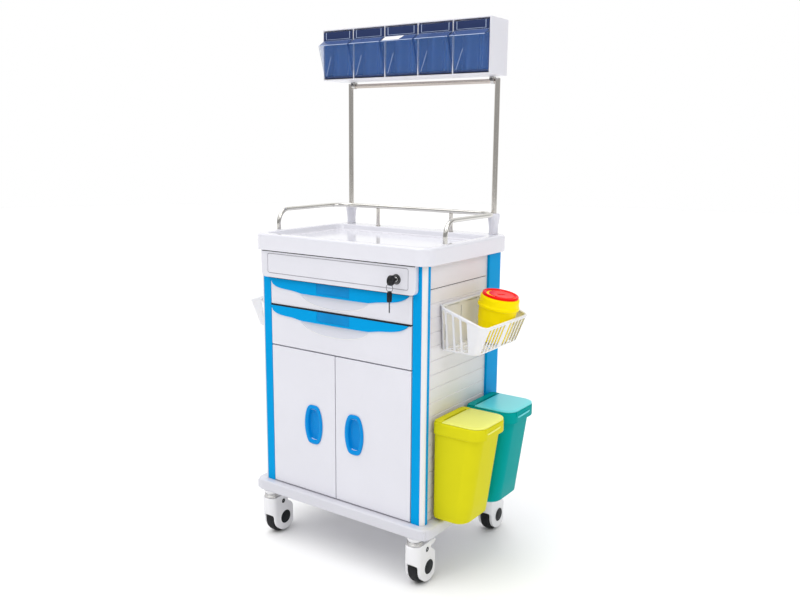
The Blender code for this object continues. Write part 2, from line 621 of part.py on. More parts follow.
# ---------------------------------------------------------------- castors
HOOD = ([(-0.026, 0.1255), (-0.0275, 0.123), (-0.0275, 0.079), (-0.022, 0.070), (-0.012, 0.063)]
        + arc(CASTOR_TRAIL, WHEEL_R, 0.0430, 172, 405, 12)
        + [(0.0700, 0.0960), (0.0600, 0.1080), (0.0520, 0.1180), (0.0330, 0.1255)])
PEDAL_PIVOT = (0.0455, 0.1120)
PEDAL = (arc(PEDAL_PIVOT[0], PEDAL_PIVOT[1], 0.0085, 90, 262, 6)
         + [(0.0640, 0.1030), (0.0790, 0.1085), (0.0815, 0.1120), (0.0780, 0.1155), (0.0640, 0.1190)])
for end, y in (("front", CASTOR_FRONT_Y), ("rear", CASTOR_REAR_Y)):
    for side, sign in (("left", -1), ("right", 1)):
        x = sign * CASTOR_X
        tag = f"{end}_{side}"
        stem = lathe(f"castor_stem_{tag}",
                     [(0.0, BASE_Z0 - GAP), (0.0260, BASE_Z0 - GAP), (0.0250, 0.1400), (0.0222, 0.1392),
                      (0.0228, 0.1262), (0.0055, 0.1258), (0.0055, 0.1140), (0.0, 0.1140)],
                     Matrix.Translation((x, y, 0)), 16)
        paint(stem, STEEL, 0.25, 1.0)
        swivel = empty(f"castor_axis_{tag}", (x, y, 0.1255))
        hood = plate(f"castor_housing_{tag}", [HOOD], 0.050, "yz", (x, y, 0))
        bevel(hood, 0.003, 1, 60)
        boolean(hood, cylinder(f"wheel_well_{tag}", 0.0535, 0.0335,
                               Matrix.Translation((x, y + CASTOR_TRAIL, WHEEL_R)) @ turned("x"), 20,
                               cutter=True))
        boolean(hood, cylinder(f"axle_{tag}", 0.0042, 0.040,
                               Matrix.Translation((x, y + CASTOR_TRAIL, WHEEL_R)) @ turned("x"), 12,
                               cutter=True), "UNION")
        boolean(hood, cylinder(f"stem_bore_{tag}", 0.0060, 0.030,
                               Matrix.Translation((x, y, 0.1280)), 16, cutter=True))
        if end == "front":
            boolean(hood, box(f"pedal_slot_{tag}", (x - 0.0190, x + 0.0190), (y + 0.0355, y + 0.10),
                              (0.098, 0.14), cutter=True))
        paint(hood, WHITE, 0.25)
        wheel = lathe(f"castor_wheel_{tag}",
                      [(0.0048, 0.0150), (0.0440, 0.0150), (0.0485, 0.0125), (0.0500, 0.0060),
                       (0.0500, -0.0060), (0.0485, -0.0125), (0.0440, -0.0150), (0.0048, -0.0150)],
                      Matrix.Translation((x, y + CASTOR_TRAIL, WHEEL_R)) @ turned("x"), 24, closed=True)
        paint(wheel, TYRE, 0.6)
        hang(swivel, hood, wheel)
        if end == "front":
            pedal_axis = empty(f"pedal_axis_{side}", (x, y + PEDAL_PIVOT[0], PEDAL_PIVOT[1]))
            pedal = plate(f"brake_pedal_{side}", [PEDAL], 0.0365, "yz", (x, y, 0))
            bevel(pedal, 0.0015, 1, 60)
            paint(pedal, WHITE, 0.25)
            hang(pedal_axis, pedal)
            hang(swivel, pedal_axis)


# ---------------------------------------------------------------- baskets
def shell(name, sections, thickness, origin):
    """A tapering open vessel: the outer skin goes up, the inner skin comes down."""
    outer, inside = [], []
    for k, (x0, x1, y0, y1, radius, z_at) in enumerate(sections):
        outer.append([(x, y, z_at(x)) for x, y in round_rect(x0, x1, y0, y1, radius, 3)])
        t = thickness
        rise = thickness if k == 0 else 0.0
        inside.append([(x, y, z_at(x) + rise) for x, y in
                       round_rect(x0 + t, x1 - t, y0 + t, y1 - t, radius - t, 3)])
    return loft(name, outer + inside[::-1], origin=origin)


def basket(name, side, drop, shift):
    z_foot, z_out, z_wall = (z - drop for z in BASKET_Z)
    slope = (z_wall - z_out) / (BASKET_TOP_X - BASKET_WALL_X)
    sections = [
        (BASKET_WALL_X, BASKET_FOOT_X, BASKET_FOOT_Y[0] + shift, BASKET_FOOT_Y[1] + shift, 0.018,
         lambda x: z_foot),
        (BASKET_WALL_X, BASKET_TOP_X, BASKET_Y[0] + shift, BASKET_Y[1] + shift, 0.024,
         lambda x: z_wall - slope * (x - BASKET_WALL_X)),
    ]
    obj = shell(name, sections, 0.0025, (0, 0, 0))
    if side < 0:
        mirror_x(obj)
    return paint(obj, WHITE, 0.4)


basket("side_basket_right", 1, 0.0, 0.0)
basket("side_basket_left", -1, LEFT_BASKET_DROP, LEFT_BASKET_SHIFT)

# ---------------------------------------------------------------- sharps container
lean = Matrix.Translation(SHARPS_BASE) @ Matrix.Rotation(SHARPS_TILT, 4, "Y")
sharps_axis = empty("sharps_axis", SHARPS_BASE, (0, SHARPS_TILT, 0))
sharps = lathe("sharps_container",
               [(0.0, 0.0020), (0.0398, 0.0020), (0.0503, 0.0700), (0.0528, 0.0990), (0.0550, 0.1080),
                (0.0545, 0.1240), (0.0465, 0.1275), (0.0465, 0.1300), (0.0515, 0.1300),
                (0.0565, 0.1250), (0.0575, 0.1080), (0.0590, 0.1060), (0.0590, 0.1000),
                (0.0550, 0.0980), (0.0525, 0.0700), (0.0420, 0.0020), (0.0400, 0.0), (0.0, 0.0)],
               lean, 24)
paint(sharps, YELLOW, 0.3)
lid_axis = empty("sharps_lid_axis", lean @ Vector((0, 0, 0.1303)), (0, SHARPS_TILT, 0))
sharps_lid = lathe("sharps_lid",
                   [(0.0, 0.1345), (0.0420, 0.1345), (0.0450, 0.1370), (0.0500, 0.1370), (0.0512, 0.1355),
                    (0.0512, 0.1303), (0.0, 0.1303)], lean, 24)
paint(sharps_lid, RED, 0.25)
hang(lid_axis, sharps_lid)
hang(sharps_axis, sharps, lid_axis)

# ---------------------------------------------------------------- waste bins
for tag, (y0, y1), colour in (("front", WASTE_FRONT_Y, LIME), ("rear", WASTE_REAR_Y, TEAL)):
    wx0, wx1 = WASTE_X
    zb, zm, zt = WASTE_Z
    sections = [
        (wx0, 0.385, y0 + 0.020, y1 - 0.020, 0.020, lambda x: zb),
        (wx0, 0.397, y0 + 0.012, y1 - 0.012, 0.026, lambda x: zb + 0.010),
        (wx0, 0.440, y0 + 0.004, y1 - 0.004, 0.026, lambda x: zm),
        (wx0, wx1, y0, y1, 0.028, lambda x: zm + 0.003),
        (wx0, wx1, y0, y1, 0.028, lambda x: zt - 0.0035),
        (wx0 + 0.0005, wx1 - 0.0025, y0 + 0.0025, y1 - 0.0025, 0.0255, lambda x: zt),
    ]
    outer, inside = [], []
    for a, b, c, d, radius, z_at in sections:
        outer.append([(x, y, z_at(x)) for x, y in round_rect(a, b, c, d, radius, 3)])
    for k, (a, b, c, d, radius, z) in enumerate((
            (wx0 + 0.0350, wx1 - 0.0090, y0 + 0.0100, y1 - 0.0100, 0.016, zt),
            (wx0 + 0.0350, wx1 - 0.0090, y0 + 0.0100, y1 - 0.0100, 0.016, zt - 0.0030),
            (wx0 + 0.0024, wx1 - 0.0045, y0 + 0.0030, y1 - 0.0030, 0.025, zt - 0.0040),
            (wx0 + 0.0024, wx1 - 0.0060, y0 + 0.0040, y1 - 0.0040, 0.025, zm + 0.0050),
            (wx0 + 0.0024, 0.4370, y0 + 0.0070, y1 - 0.0070, 0.024, zm - 0.004),
            (wx0 + 0.0024, 0.3945, y0 + 0.0150, y1 - 0.0150, 0.023, zb + 0.012),
            (wx0 + 0.0024, 0.3840, y0 + 0.0210, y1 - 0.0210, 0.018, zb + 0.0026))):
        inside.append([(x, y, z) for x, y in round_rect(a, b, c, d, radius, 3)])
    bin_obj = loft(f"waste_bin_{tag}", outer + inside)
    # hook pad on the bin's back, which bears on the recessed side panel
    boolean(bin_obj, box(f"hook_pad_{tag}", (0.2893, wx0 + 0.0012), (y0 + 0.030, y0 + 0.110), (0.400, 0.436),
                         cutter=True), "UNION")
    paint(bin_obj, colour, 0.35)
    hx, hz = FLAP_HINGE
    flap_axis = empty(f"flap_axis_{tag}", (hx, (y0 + y1) / 2, zt + 0.0030))
    flap = plate(f"waste_flap_{tag}", [round_rect(hx - 0.0005, wx1 - 0.0040, y0 + 0.0050, y1 - 0.0050, 0.020, 3)],
                 0.0034, "xy", (0, 0, zt + GAP + 0.0017))
    boolean(flap, box(f"flap_ridge_{tag}", (wx1 - 0.0230, wx1 - 0.0080), (y0 + 0.055, y1 - 0.055),
                      (zt + 0.0025, zt + 0.0070), cutter=True), "UNION")
    paint(flap, colour, 0.35)
    hang(flap_axis, flap)

# ---------------------------------------------------------------- footprint
for obj in list(PARTS.objects) + list(CUTTERS.objects):
    if obj.parent is None:
        obj.location.y += FOOTPRINT_SHIFT
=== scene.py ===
"""Looks of the ward treatment trolley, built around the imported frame."""

import json
import math

import bmesh
import bpy
from mathutils import Matrix, Vector


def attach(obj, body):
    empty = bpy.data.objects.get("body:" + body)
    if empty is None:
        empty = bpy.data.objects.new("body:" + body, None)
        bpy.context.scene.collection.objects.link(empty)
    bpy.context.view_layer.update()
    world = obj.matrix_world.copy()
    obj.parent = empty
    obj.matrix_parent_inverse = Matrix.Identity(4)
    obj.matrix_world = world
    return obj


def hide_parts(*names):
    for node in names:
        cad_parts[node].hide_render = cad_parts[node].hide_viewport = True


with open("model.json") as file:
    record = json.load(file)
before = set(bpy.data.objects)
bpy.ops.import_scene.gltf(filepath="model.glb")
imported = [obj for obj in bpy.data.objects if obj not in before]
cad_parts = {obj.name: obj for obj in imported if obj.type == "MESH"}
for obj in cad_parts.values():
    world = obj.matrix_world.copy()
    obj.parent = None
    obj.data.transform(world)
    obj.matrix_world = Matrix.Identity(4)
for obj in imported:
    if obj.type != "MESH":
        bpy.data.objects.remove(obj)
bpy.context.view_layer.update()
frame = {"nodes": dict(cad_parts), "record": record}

# The numbers below are taken from the cabinet's own centre line, 10 mm behind
# the frame's origin, as the CAD part's are.
SHIFT = Matrix.Translation((0.0, -0.010, 0.0))
SCENE = bpy.context.scene
ROOM = SCENE.collection


# ================================================================ materials
def link(nt, a, b):
    nt.links.new(a, b)


def noise(nt, scale, detail=2.0, roughness=0.5, stretch=(1, 1, 1), distortion=0.0):
    coord = nt.nodes.new("ShaderNodeTexCoord")
    place = nt.nodes.new("ShaderNodeMapping")
    place.inputs["Scale"].default_value = stretch
    tex = nt.nodes.new("ShaderNodeTexNoise")
    tex.inputs["Scale"].default_value = scale
    tex.inputs["Detail"].default_value = detail
    tex.inputs["Roughness"].default_value = roughness
    tex.inputs["Distortion"].default_value = distortion
    link(nt, coord.outputs["Object"], place.inputs["Vector"])
    link(nt, place.outputs["Vector"], tex.inputs["Vector"])
    return tex.outputs["Fac"]


def spread(nt, fac, low, high, from_low=0.3, from_high=0.7):
    node = nt.nodes.new("ShaderNodeMapRange")
    node.inputs["From Min"].default_value = from_low
    node.inputs["From Max"].default_value = from_high
    node.inputs["To Min"].default_value = low
    node.inputs["To Max"].default_value = high
    link(nt, fac, node.inputs["Value"])
    return node.outputs["Result"]


def two_colours(nt, fac, a, b):
    node = nt.nodes.new("ShaderNodeMix")
    node.data_type = "RGBA"
    for socket, value in ((node.inputs[6], a), (node.inputs[7], b)):
        if isinstance(value, tuple):
            socket.default_value = (*value, 1.0)
        else:
            link(nt, value, socket)
    link(nt, fac, node.inputs[0])
    return node.outputs[2]


def bumped(nt, height, strength, distance, normal=None):
    node = nt.nodes.new("ShaderNodeBump")
    node.inputs["Strength"].default_value = strength
    node.inputs["Distance"].default_value = distance
    link(nt, height, node.inputs["Height"])
    if normal is not None:
        link(nt, normal, node.inputs["Normal"])
    return node.outputs["Normal"]


def tint(colour, k):
    return tuple(min(1.0, c * k) for c in colour)


def material(name):
    mat = bpy.data.materials.new(name)
    mat.use_nodes = True
    return mat, mat.node_tree, mat.node_tree.nodes["Principled BSDF"]


def plastic(name, colour, rough=0.32, grain=900.0, grain_strength=0.05, coat=0.0, coat_rough=0.1, cloud=0.02,
            speck=0.012, alpha=None, subsurface=0.0, spec=0.5, wave=0.013, ior=1.5):
    """Moulded plastic: faint flow clouding, a fine spark-eroded grain, shallow
    sink waves and rubbed patches in the gloss."""
    mat, nt, bsdf = material(name)
    clouds = noise(nt, 4.0, 4.0, 0.6, distortion=0.6)
    base = two_colours(nt, spread(nt, clouds, 0.0, 1.0), tint(colour, 1 - cloud), tint(colour, 1 + cloud))
    specks = noise(nt, 420.0, 2.0)
    base = two_colours(nt, spread(nt, specks, 0.0, speck, 0.52, 0.75), base, tint(colour, 0.55))
    link(nt, base, bsdf.inputs["Base Color"])
    rubbed = noise(nt, 14.0, 5.0, 0.65, stretch=(1.0, 1.0, 0.45), distortion=0.3)
    link(nt, spread(nt, rubbed, rough - 0.015, rough + 0.020, 0.15, 0.85), bsdf.inputs["Roughness"])
    normal = bumped(nt, noise(nt, 5.5, 1.0), wave, 0.004)
    normal = bumped(nt, noise(nt, grain, 2.0, 0.6), grain_strength, 0.0004, normal)
    link(nt, normal, bsdf.inputs["Normal"])
    bsdf.inputs["Coat Weight"].default_value = coat
    bsdf.inputs["Coat Roughness"].default_value = coat_rough
    bsdf.inputs["Specular IOR Level"].default_value = spec
    bsdf.inputs["IOR"].default_value = ior
    if alpha is not None:
        bsdf.inputs["Alpha"].default_value = alpha
    if subsurface:
        bsdf.inputs["Subsurface Weight"].default_value = subsurface
        bsdf.inputs["Subsurface Radius"].default_value = (0.004, 0.003, 0.002)
    return mat


def metal(name, colour, rough=0.22, along=(1, 1, 1), brush=0.10, coarse=160.0, cloud=0.05):
    """Drawn or plated metal: brush lines stretched along the piece, polish
    clouds and a scatter of fine marks."""
    mat, nt, bsdf = material(name)
    bsdf.inputs["Metallic"].default_value = 1.0
    clouds = noise(nt, 9.0, 4.0, 0.6)
    base = two_colours(nt, spread(nt, clouds, 0.0, 1.0), tint(colour, 1 - cloud), tint(colour, 1 + cloud))
    lines = noise(nt, coarse, 3.0, 0.7, stretch=along)
    base = two_colours(nt, spread(nt, lines, 0.0, 0.22), base, tint(colour, 0.6))
    link(nt, base, bsdf.inputs["Base Color"])
    link(nt, spread(nt, lines, rough - 0.05, rough + 0.10), bsdf.inputs["Roughness"])
    normal = bumped(nt, lines, brush, 0.0003)
    normal = bumped(nt, noise(nt, 60.0, 2.0), 0.03, 0.0006, normal)
    link(nt, normal, bsdf.inputs["Normal"])
    return mat


def rubber(name, colour, rough=0.6):
    mat, nt, bsdf = material(name)
    dust = noise(nt, 22.0, 5.0, 0.7)
    base = two_colours(nt, spread(nt, dust, 0.0, 0.6, 0.45, 0.8), colour, tint(colour, 2.6))
    link(nt, base, bsdf.inputs["Base Color"])
    link(nt, spread(nt, dust, rough - 0.06, rough + 0.16), bsdf.inputs["Roughness"])
    normal = bumped(nt, noise(nt, 700.0, 3.0, 0.7), 0.18, 0.0005)
    link(nt, normal, bsdf.inputs["Normal"])
    bsdf.inputs["Specular IOR Level"].default_value = 0.2
    return mat


WHITE_C = (0.735, 0.732, 0.790)
BLUE_C = (0.0, 0.330, 0.725)

WHITE = plastic("white_abs", WHITE_C, 0.30, 1100, 0.035, coat=0.12, coat_rough=0.12, subsurface=0.05)
# a darker copy of the cabinet white: painted shade on the base plate, which sits low by the floor
BASE_SHADED = plastic("white_abs_base", tint(WHITE_C, 0.86), 0.34, 1100, 0.035, coat=0.08, coat_rough=0.15)
DECK = plastic("white_abs_polished", tint(WHITE_C, 1.02), 0.14, 1500, 0.010, coat=0.45, coat_rough=0.04,
               wave=0.012)
FRONT = plastic("white_abs_fronts", WHITE_C, 0.36, 800, 0.06, coat=0.06, coat_rough=0.2)
PANEL = plastic("white_abs_panels", (0.775, 0.750, 0.770), 0.36, 650, 0.08, wave=0.03)
TRAY = plastic("white_tray", tint(WHITE_C, 0.97), 0.46, 600, 0.10)
# paler white: the post strips and panel margins, and also the painted highlight on the drawer scoop lips
STRIP_AND_LIP_HIGHLIGHT = plastic("white_post_strip", (0.80, 0.79, 0.80), 0.28, 1200, 0.03, coat=0.15)
BLUE = plastic("blue_abs", BLUE_C, 0.34, 1000, 0.03, cloud=0.03, spec=0.28, ior=1.15)
BLUE_HANDLE = plastic("blue_handle", (0.0, 0.268, 0.690), 0.22, 1300, 0.02, cloud=0.03, spec=0.4, ior=1.22)
WINDOW = plastic("label_window", (0.0, 0.245, 0.600), 0.16, 260, 0.08, cloud=0.16, speck=0.08, ior=1.20)
# near black: painted shadow in the side panel joint
GAP_SHADOW_GREY = plastic("shadow_grey", (0.10, 0.095, 0.10), 0.6, 600, 0.1, spec=0.2)
BIN = plastic("bin_clear_blue", (0.100, 0.240, 0.600), 0.08, 1500, 0.010, coat=0.3, coat_rough=0.03, cloud=0.04,
              alpha=0.17, wave=0.02)
BIN_IN = plastic("bin_liner_blue", (0.060, 0.165, 0.500), 0.30, 900, 0.03, cloud=0.10, ior=1.20)
BIN_BAND = plastic("bin_blue_band", (0.030, 0.046, 0.125), 0.30, 1500, 0.012, cloud=0.10, ior=1.16)
BIN_LIP = plastic("bin_blue_lip", (0.082, 0.138, 0.340), 0.10, 1500, 0.012, coat=0.1, coat_rough=0.04,
                  cloud=0.12, alpha=0.78, spec=0.3)
# pale blue-white: painted highlights on the lip edges and the fold streak; also the colour of the label holders and
# ledge
BIN_PALE_AND_HIGHLIGHT = plastic("bin_edge_light", (0.50, 0.60, 0.82), 0.15, 1500, 0.012, coat=0.2, cloud=0.05)
BIN_LINE = plastic("bin_edge_dark", (0.030, 0.045, 0.120), 0.30, 1500, 0.012, cloud=0.05, spec=0.3)
PAPER = plastic("paper_label", (0.93, 0.92, 0.95), 0.75, 1800, 0.10, cloud=0.02)
LIME = plastic("waste_lime", (0.690, 0.645, 0.012), 0.36, 520, 0.05, cloud=0.02, spec=0.28, ior=1.14)
# lighter than the tub: the flap's own lighter tint plus painted glare of the light on its top
LIME_LID_LIT = plastic("waste_lime_lid", (0.830, 0.830, 0.160), 0.40, 520, 0.03, cloud=0.02, spec=0.5)
# dark olive: painted shade in the hinge slot
LIME_SLOT_SHADE = plastic("waste_lime_slot", (0.190, 0.180, 0.006), 0.5, 520, 0.06, spec=0.1)
TEAL = plastic("waste_teal", (0.0, 0.335, 0.328), 0.36, 520, 0.05, cloud=0.02, spec=0.25, ior=1.14)
# lighter than the tub: the flap's own lighter tint plus painted glare of the light on its top
TEAL_LID_LIT = plastic("waste_teal_lid", (0.120, 0.700, 0.740), 0.30, 520, 0.03, cloud=0.02, spec=0.7)
# dark teal: painted shade in the hinge slot
TEAL_SLOT_SHADE = plastic("waste_teal_slot", (0.0, 0.070, 0.072), 0.5, 520, 0.06, spec=0.1)
YELLOW = plastic("sharps_yellow", (1.0, 0.790, 0.0), 0.28, 900, 0.03, cloud=0.0, spec=0.35, ior=1.18)
RED = plastic("sharps_red", (0.930, 0.010, 0.006), 0.22, 1200, 0.02, cloud=0.02, spec=0.4, ior=1.18)
BASKET = plastic("basket_white", (0.800, 0.795, 0.815), 0.33, 900, 0.05, coat=0.08, subsurface=0.05)
CASTOR = plastic("castor_white", (0.830, 0.825, 0.845), 0.24, 1200, 0.03, coat=0.2, coat_rough=0.1)
# near black: the castor hubs and pins, and also the painted shade strips of the drawer gaps and basket slots
HUB_AND_SHADE_BLACK = plastic("castor_hub", (0.012, 0.014, 0.016), 0.36, 900, 0.08, ior=1.20)
BLACK = plastic("key_black", (0.004, 0.004, 0.005), 0.30, 900, 0.05, spec=0.3)
# mid grey: painted shade in the groove of the top front
GROOVE_PAINTED_SHADE = plastic("groove_shade", (0.42, 0.41, 0.45), 0.5, 900, 0.05, spec=0.2)
TYRE = rubber("castor_tyre", (0.014, 0.014, 0.016))
RAIL = metal("stainless_rail", (0.70, 0.685, 0.65), 0.09, (1, 1, 1), 0.02, 500.0)
UPRIGHT = metal("stainless_upright", (0.71, 0.68, 0.64), 0.11, (1, 1, 0.02), 0.03, 620.0)
# a darker, browner copy of the upright stainless: painted shade on the crossbar under the housing
CROSS_SHADED = metal("stainless_crossbar", (0.56, 0.505, 0.46), 0.12, (0.02, 1, 1), 0.03, 620.0)
ZINC = metal("zinc_steel", (0.62, 0.61, 0.60), 0.26, (1, 1, 1), 0.06, 300.0)
DARK_STEEL = metal("dark_steel", (0.14, 0.14, 0.145), 0.30, (1, 1, 0.1), 0.08, 500.0)
CHROME = metal("lock_chrome", (0.66, 0.66, 0.67), 0.12, (1, 1, 1), 0.02, 500.0)


# ================================================================ mesh tools
def from_bm(name, bm, matrix=None):
    mesh = bpy.data.meshes.new(name)
    bmesh.ops.recalc_face_normals(bm, faces=bm.faces)
    bm.to_mesh(mesh)
    bm.free()
    if matrix is not None:
        mesh.transform(matrix)
    obj = bpy.data.objects.new(name, mesh)
    ROOM.objects.link(obj)
    return obj


def box(name, xs, ys, zs):
    bm = bmesh.new()
    bmesh.ops.create_cube(bm, size=1.0)
    bmesh.ops.scale(bm, vec=Vector((xs[1] - xs[0], ys[1] - ys[0], zs[1] - zs[0])), verts=bm.verts)
    bmesh.ops.translate(bm, vec=Vector((xs[0] + xs[1], ys[0] + ys[1], zs[0] + zs[1])) / 2, verts=bm.verts)
    return from_bm(name, bm)


def cylinder(name, radius, depth, matrix, steps=48, radius2=None):
    bm = bmesh.new()
    bmesh.ops.create_cone(bm, cap_ends=True, segments=steps, radius1=radius,
                          radius2=radius if radius2 is None else radius2, depth=depth)
    return from_bm(name, bm, matrix)


PLANES = {
    "xy": Matrix(((1, 0, 0), (0, 1, 0), (0, 0, 1))),
    "xz": Matrix(((1, 0, 0), (0, 0, -1), (0, 1, 0))),
    "yz": Matrix(((0, 0, 1), (1, 0, 0), (0, 1, 0))),
}


def curve_mesh(curve, name, matrix=Matrix.Identity(4)):
    obj = bpy.data.objects.new(name + "_c", curve)
    ROOM.objects.link(obj)
    bpy.context.view_layer.update()
    graph = bpy.context.evaluated_depsgraph_get()
    mesh = bpy.data.meshes.new_from_object(obj.evaluated_get(graph))
    bpy.data.objects.remove(obj, do_unlink=True)
    bpy.data.curves.remove(curve)
    bm = bmesh.new()
    bm.from_mesh(mesh)
    bpy.data.meshes.remove(mesh)
    bmesh.ops.remove_doubles(bm, verts=bm.verts, dist=0.000008)
    return from_bm(name, bm, matrix)


def plate(name, outlines, depth, plane, middle):
    curve = bpy.data.curves.new(name, "CURVE")
    curve.dimensions = "2D"
    curve.fill_mode = "BOTH"
    curve.extrude = depth / 2
    for outline in outlines:
        spline = curve.splines.new("POLY")
        spline.points.add(len(outline) - 1)
        for point, (u, v) in zip(spline.points, outline):
            point.co = (u, v, 0.0, 1.0)
        spline.use_cyclic_u = True
    return curve_mesh(curve, name, Matrix.Translation(Vector(middle)) @ PLANES[plane].to_4x4())


def tube(name, points, radius, sides=6, cyclic=False):
    curve = bpy.data.curves.new(name, "CURVE")
    curve.dimensions = "3D"
    curve.bevel_depth = radius
    curve.bevel_resolution = sides
    curve.use_fill_caps = not cyclic
    spline = curve.splines.new("POLY")
    spline.points.add(len(points) - 1)
    for point, co in zip(spline.points, points):
        point.co = (*co, 1.0)
    spline.use_cyclic_u = cyclic
    return curve_mesh(curve, name)


def lathe(name, profile, matrix, steps=72, closed=False, radius_at=None):
    """A turned shape from (radius, height) pairs; points on the axis close it."""
    bm = bmesh.new()
    rows = []
    for r, z in profile:
        if r < 1e-6:
            rows.append([bm.verts.new((0, 0, z))])
            continue
        row = []
        for i in range(steps):
            a = 2 * math.pi * i / steps
            rr = r * (radius_at(a, z) if radius_at else 1.0)
            row.append(bm.verts.new((rr * math.cos(a), rr * math.sin(a), z)))
        rows.append(row)
    pairs = list(zip(rows, rows[1:]))
    if closed:
        pairs.append((rows[-1], rows[0]))
    for low, high in pairs:
        for i in range(steps):
            j = (i + 1) % steps
            if len(low) == 1 and len(high) == 1:
                continue
            if len(low) == 1:
                bm.faces.new((low[0], high[j], high[i]))
            elif len(high) == 1:
                bm.faces.new((low[i], low[j], high[0]))
            else:
                bm.faces.new((low[i], low[j], high[j], high[i]))
    return from_bm(name, bm, matrix)


def loft(name, rings, closed=False):
    bm = bmesh.new()
    rows = [[bm.verts.new(Vector(p)) for p in ring] for ring in rings]
    count = len(rows[0])
    pairs = list(zip(rows, rows[1:]))
    if closed:
        pairs.append((rows[-1], rows[0]))
    for low, high in pairs:
        for i in range(count):
            j = (i + 1) % count
            bm.faces.new((low[i], low[j], high[j], high[i]))
    if not closed:
        bm.faces.new(rows[0][::-1])
        bm.faces.new(rows[-1])
    return from_bm(name, bm)


def round_rect(x0, x1, y0, y1, radius, steps=10):
    points = []
    for cx, cy, start in ((x1 - radius, y1 - radius, 0), (x0 + radius, y1 - radius, 90),
                          (x0 + radius, y0 + radius, 180), (x1 - radius, y0 + radius, 270)):
        for i in range(steps + 1):
            a = math.radians(start + 90 * i / steps)
            points.append((cx + radius * math.cos(a), cy + radius * math.sin(a)))
    return points


def arc(cx, cy, radius, start, end, steps):
    return [(cx + radius * math.cos(math.radians(start + (end - start) * i / steps)),
             cy + radius * math.sin(math.radians(start + (end - start) * i / steps)))
            for i in range(steps + 1)]


def fillet(points, radius, steps=4, closed=True):
    """Rounds every corner; radius may be one number or one for each corner."""
    out = []
    n = len(points)
    for i, p in enumerate(points):
        if not closed and i in (0, n - 1):
            out.append(tuple(p))
            continue
        r = radius[i] if isinstance(radius, (list, tuple)) else radius
        p = Vector(p)
        da, dc = Vector(points[i - 1]) - p, Vector(points[(i + 1) % n]) - p
        t = min(r, da.length * 0.46, dc.length * 0.46)
        if t < 1e-6:
            out.append(tuple(p))
            continue
        s, e = p + da.normalized() * t, p + dc.normalized() * t
        for k in range(steps + 1):
            u = k / steps
            out.append(tuple((1 - u) ** 2 * s + 2 * u * (1 - u) * p + u * u * e))
    return out


def flowing(points, rounds=3, closed=False):
    """Corner cutting, which keeps inside the given outline."""
    for _ in range(rounds):
        out = []
        n = len(points)
        for i in range(n if closed else n - 1):
            a, b = Vector(points[i]), Vector(points[(i + 1) % n])
            out += [tuple(a.lerp(b, 0.25)), tuple(a.lerp(b, 0.75))]
        if not closed:
            out = [tuple(points[0])] + out[1:-1] + [tuple(points[-1])]
        points = out
    return points


def turned(axis):
    return {"x": Matrix.Rotation(math.radians(90), 4, "Y"),
            "-y": Matrix.Rotation(math.radians(90), 4, "X"),
            "z": Matrix.Identity(4)}[axis]


def settle(obj):
    """Applies whatever modifiers the piece has."""
    bpy.context.view_layer.update()
    graph = bpy.context.evaluated_depsgraph_get()
    mesh = bpy.data.meshes.new_from_object(obj.evaluated_get(graph), preserve_all_data_layers=True,
                                           depsgraph=graph)
    old = obj.data
    obj.modifiers.clear()
    obj.data = mesh
    bpy.data.meshes.remove(old)
    return obj


def soft(obj, width, segments=3, angle=40.0):
    mod = obj.modifiers.new("edges", "BEVEL")
    mod.width = width
    mod.segments = segments
    mod.limit_method = "ANGLE"
    mod.angle_limit = math.radians(angle)
    return settle(obj)


def joined(name, *objs):
    bm = bmesh.new()
    for o in objs:
        bm.from_mesh(o.data)
    obj = from_bm(name, bm)
    for o in objs:
        bpy.data.objects.remove(o, do_unlink=True)
    return obj


def combine(obj, other, operation="DIFFERENCE"):
    mod = obj.modifiers.new("cut", "BOOLEAN")
    mod.operation = operation
    mod.solver = "EXACT"
    mod.object = other
    settle(obj)
    bpy.data.objects.remove(other, do_unlink=True)
    return obj


def cut(obj, *others):
    for other in others:
        combine(obj, other)
    return obj


def shade(obj, angle=32.0, weighted=True):
    obj.data.shade_smooth()
    obj.data.set_sharp_from_angle(angle=math.radians(angle))
    if weighted:
        mod = obj.modifiers.new("normals", "WEIGHTED_NORMAL")
        mod.keep_sharp = True
        mod.weight = 60
        settle(obj)
    return obj


def mirrored(obj, name):
    """A left-hand copy of a finished right-hand piece."""
    bm = bmesh.new()
    bm.from_mesh(obj.data)
    bmesh.ops.scale(bm, vec=Vector((-1, 1, 1)), verts=bm.verts)
    bmesh.ops.reverse_faces(bm, faces=bm.faces)
    return from_bm(name, bm)


def put(obj, mat, body, slot, *stands_for, angle=32.0, weighted=True):
    shade(obj, angle, weighted)
    obj.data.transform(SHIFT)
    obj.data.materials.clear()
    obj.data.materials.append(mat)
    obj.data.polygons.foreach_set("material_index", [0] * len(obj.data.polygons))
    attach(obj, body)
    if stands_for:
        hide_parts(*stands_for)
    return obj


# ================================================================ base plate
def rect_ring(hx, hy, radius, z, cy=0.0, steps=12):
    return [(x, y, z) for x, y in round_rect(-hx, hx, cy - hy, cy + hy, radius, steps)]


rings = [rect_ring(0.3150, 0.2225, 0.028, 0.1775), rect_ring(0.3155, 0.2230, 0.028, 0.1520),
         rect_ring(0.3165, 0.2240, 0.029, 0.1503), rect_ring(0.3185, 0.2260, 0.031, 0.1500),
         rect_ring(0.3210, 0.2285, 0.033, 0.1505), rect_ring(0.3224, 0.2299, 0.0345, 0.1520),
         rect_ring(0.3230, 0.2305, 0.0350, 0.1545), rect_ring(0.3226, 0.2301, 0.0348, 0.1760)]
for a in (20, 40, 60, 80, 90):
    k = math.radians(a)
    inset = 0.0004 + 0.0056 * (1 - math.cos(k))
    rings.append(rect_ring(0.3230 - inset, 0.2305 - inset, 0.0350 - inset, 0.1763 + 0.0057 * math.sin(k)))
rings.append(rect_ring(0.3110, 0.2185, 0.0260, 0.1820))
